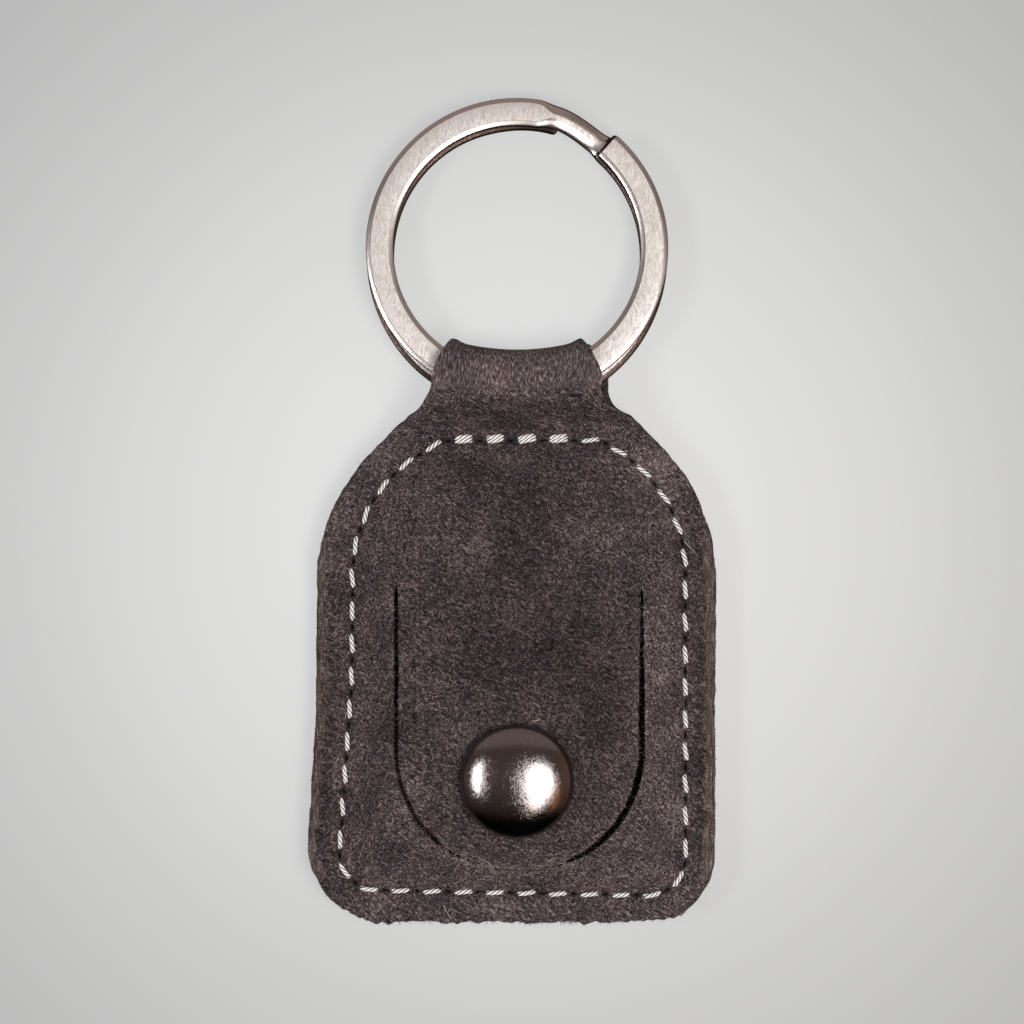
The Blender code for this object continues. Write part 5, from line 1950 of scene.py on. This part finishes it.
@dataclass(frozen=True)
class Backdrop:
    """A pale grey sweep with a painted pool of light, brightest in the middle of the view and darker towards
    its corners.
    """

    name: str = "backdrop_paper"
    centre: Point = (-0.53, 15.68)
    # The tones paint a pool of light on the floor, brightest at its centre.
    radii: tuple[float, ...] = (0.0, 24.0, 40.0, 54.3, 76.7)
    tones: tuple[str, ...] = ("#E5E5E5", "#E0E0E0", "#D7D7D7", "#CBCBCB", "#BBBBBB")
    # The floor's colour in reflections only: a dark floor painted into what the shiny pieces reflect.
    painted_reflection: str = "#2A2320"
    shown_share: float = 0.72
    size: float = 3000.0

    def floor(self) -> Object:
        """Makes the floor that the keychain lies on."""
        half = self.size / 2
        corners = np.array([(-half, -half, 0), (half, -half, 0), (half, half, 0), (-half, half, 0)], float)
        material, tree, shader = new_material(self.name)
        place = add_node(tree, "TexCoord").outputs["Object"]
        rel = add_node(tree, "VectorMath", {
            0: place, 1: (self.centre[0] * MM, self.centre[1] * MM, 0.0),
        }, operation="SUBTRACT")
        reach = add_node(tree, "VectorMath", {0: rel}, operation="LENGTH")
        far = self.radii[-1] * MM
        share = math_node(tree, "DIVIDE", reach.outputs["Value"], far)
        colour = add_node(tree, "ValToRGB", {0: share}, stops=[
            (radius / self.radii[-1], tone) for radius, tone in zip(self.radii, self.tones)
        ])
        path = add_node(tree, "LightPath")
        either = add_node(tree, "Mix", {
            0: path.outputs["Is Glossy Ray"], 6: colour, 7: linear(self.painted_reflection),
        }, data_type="RGBA")
        connect(tree, shader, {"Base Color": either.outputs[2], "Roughness": 0.95, "Specular IOR Level": 0.0})
        # Seen by the camera, the floor partly glows with these painted tones.
        glow = add_node(tree, "Emission", {"Color": colour, "Strength": 1.0})
        part = math_node(tree, "MULTIPLY", path.outputs["Is Camera Ray"], self.shown_share)
        both = add_node(tree, "MixShader", {0: part, 1: shader, 2: glow})
        connect(tree, tree.nodes["Material Output"], {0: both})
        floor = mesh_piece("floor", corners, [(0, 1, 2, 3)], [material])
        return floor


@dataclass(frozen=True)
class Softbox:
    """An oval soft lamp, placed by the direction from which it lights the snap's dome."""

    name: str
    lean_x_deg: float
    lean_y_deg: float
    wide_deg: float
    high_deg: float
    radiance: float
    tint: str
    distance: float = 300.0

    def lamp(self, aim: Vector) -> Object:
        """Makes the lamp, aimed at a point in metres."""
        light = bpy.data.lights.new(self.name, "AREA")
        light.shape = "ELLIPSE"
        light.size, light.size_y = (2 * self.distance * math.tan(math.radians(across / 2)) * MM
                                    for across in (self.wide_deg, self.high_deg))
        light.energy = self.radiance * math.pi * math.pi / 4 * light.size * light.size_y
        light.color = linear(self.tint)[:3]
        way = Vector((math.tan(math.radians(self.lean_x_deg)), math.tan(math.radians(self.lean_y_deg)), 1))
        way.normalize()
        obj = bpy.data.objects.new(self.name, light)
        obj.location = aim + way * self.distance * MM
        across = Vector((1, 0, 0)) - way * way.x
        across.normalize()
        obj.rotation_euler = Matrix((across, way.cross(across), way)).transposed().to_euler()
        bpy.context.scene.collection.objects.link(obj)
        return obj


@dataclass
class Studio:
    """Camera, lamps and world: a plain soft studio seen from straight above."""

    lens: float = 85.0
    sensor: float = 36.0
    view_width: float = 108.5
    view_centre: Point = (-0.53, 15.68)
    view_level: float = 3.0
    lamps: tuple[Softbox, ...] = (
        Softbox("window_right", 21.6, -5.5, 30.0, 34.0, 7.6, "#FFFEFC"),
        Softbox("window_sill", 18.5, -23.5, 14.0, 16.0, 6.0, "#FFF8F0"),
        Softbox("window_left", -44.0, 0.0, 13.0, 29.0, 12.6, "#FBFCFF"),
        Softbox("warm_bulb", 43.0, -24.0, 12.0, 34.0, 0.8, "#FFB070"),
    )
    ambient: str = "#8A8785"
    lit_wall: str = "#C98A5C"
    shown: str = "#BCBCBC"

    def camera(self) -> Object:
        """Makes the camera."""
        data = bpy.data.cameras.new("camera")
        data.lens = self.lens
        data.sensor_width = self.sensor
        data.clip_start = 0.005
        data.clip_end = 20.0
        obj = bpy.data.objects.new("camera", data)
        height = self.view_width * self.lens / self.sensor + self.view_level
        obj.location = (self.view_centre[0] * MM, self.view_centre[1] * MM, height * MM)
        bpy.context.scene.collection.objects.link(obj)
        bpy.context.scene.camera = obj
        return obj

    def world(self) -> None:
        """Makes the world: dim room light, darker from the near side in what shines."""
        world = bpy.data.worlds.new("studio_room")
        world.use_nodes = True
        bpy.context.scene.world = world
        tree = world.node_tree
        back = tree.nodes["Background"]
        path = add_node(tree, "LightPath")
        way = add_node(tree, "TexCoord").outputs["Generated"]
        split = add_node(tree, "SeparateXYZ", {0: way})
        share = remap(tree, split.outputs[1], -1.0, 1.0)
        room = add_node(tree, "ValToRGB", {0: share}, stops=[
            (0.0, "#060505"), (0.16, "#080707"), (0.24, "#4A403D"), (0.5, "#766A66"), (0.75, "#665B57"),
            (0.8, "#A69690"), (1.0, "#9C8A84"),
        ])
        beside = remap(tree, split.outputs[0], 0.7, 0.95, 0.0, 0.2)
        warm = add_node(tree, "Mix", {0: beside, 6: room, 7: linear(self.lit_wall)}, data_type="RGBA")
        shiny = add_node(tree, "Mix", {
            0: path.outputs["Is Glossy Ray"], 6: linear(self.ambient), 7: warm.outputs[2],
        }, data_type="RGBA")
        seen = add_node(tree, "Mix", {
            0: path.outputs["Is Camera Ray"], 6: shiny.outputs[2], 7: linear(self.shown),
        }, data_type="RGBA")
        connect(tree, back, {"Color": seen.outputs[2], "Strength": 1.0})

    def build(self) -> None:
        """Sets up the whole studio."""
        bpy.context.scene.view_settings.view_transform = "Standard"
        self.camera()
        self.world()
        aim = Vector((SNAP_CENTRE[0] * MM, SNAP_CENTRE[1] * MM, 6.0 * MM))
        for lamp in self.lamps:
            lamp.lamp(aim)


def attach(piece: Object, body: Body, slot: Slot, *nodes: str) -> Object:
    """Puts a piece on its body and hides the CAD nodes that it stands for."""
    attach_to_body(piece, body.value)
    if nodes:
        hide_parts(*nodes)
    return piece


def bend(piece: Object, slot: Slot, bodies: tuple[Body, Body], from_y: float, to_y: float,
         *nodes: str) -> Object:
    """Bakes a leather piece's placement into its mesh and hides the CAD nodes that it stands for."""
    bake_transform(piece)
    if nodes:
        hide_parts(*nodes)
    return piece


def main() -> None:
    """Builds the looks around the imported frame."""
    logging.basicConfig(level=logging.INFO, format="%(name)s: %(message)s")
    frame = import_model()
    turn = next(joint for joint in frame["joints"] if joint["name"] == "ring_turn")

    Studio().build()
    Backdrop().floor()

    seam = Seam()
    slit = Slit()
    strap = Strap()
    relief = Relief(seam, slit)
    pouch = Pouch(seam, slit, strap, relief, Sheet(strap))
    neck = (Body.POUCH, Body.LOOP)
    root = (Body.POUCH, Body.FLAP)
    bend(pouch.leather(), Slot.LEATHER, neck, *NECK_SPAN, "front_panel", "back_panel", "ring_loop")
    bend(pouch.flap(), Slot.LEATHER, root, *ROOT_SPAN, "coin_flap")

    stitching = Stitching(seam)
    front = stitching.thread("front_stitching", stitching.front_level, stitching.dip)
    attach(front, Body.POUCH, Slot.THREAD, "front_thread")
    back = stitching.thread("back_stitching", stitching.back_level, -stitching.dip)
    attach(back, Body.POUCH, Slot.THREAD, "back_thread")

    snap = Snap()
    for part in snap.pieces():
        attach(part.piece(SNAP_CENTRE), part.body, part.slot, part.node)
    attach(snap.spring(), Body.FLAP, Slot.BRASS, "socket_spring")

    ring = KeyRing(Vector(turn["pos_m"]), Vector(turn["axis"]))
    attach(ring.wire(), Body.RING, Slot.NICKEL, "split_ring")

    fibres = Fibres(pouch)
    bend(fibres.pouch_fibres(), Slot.LEATHER, neck, *NECK_SPAN)
    bend(fibres.flap_fibres(), Slot.LEATHER, root, *ROOT_SPAN)


if __name__ == "__main__":
    main()
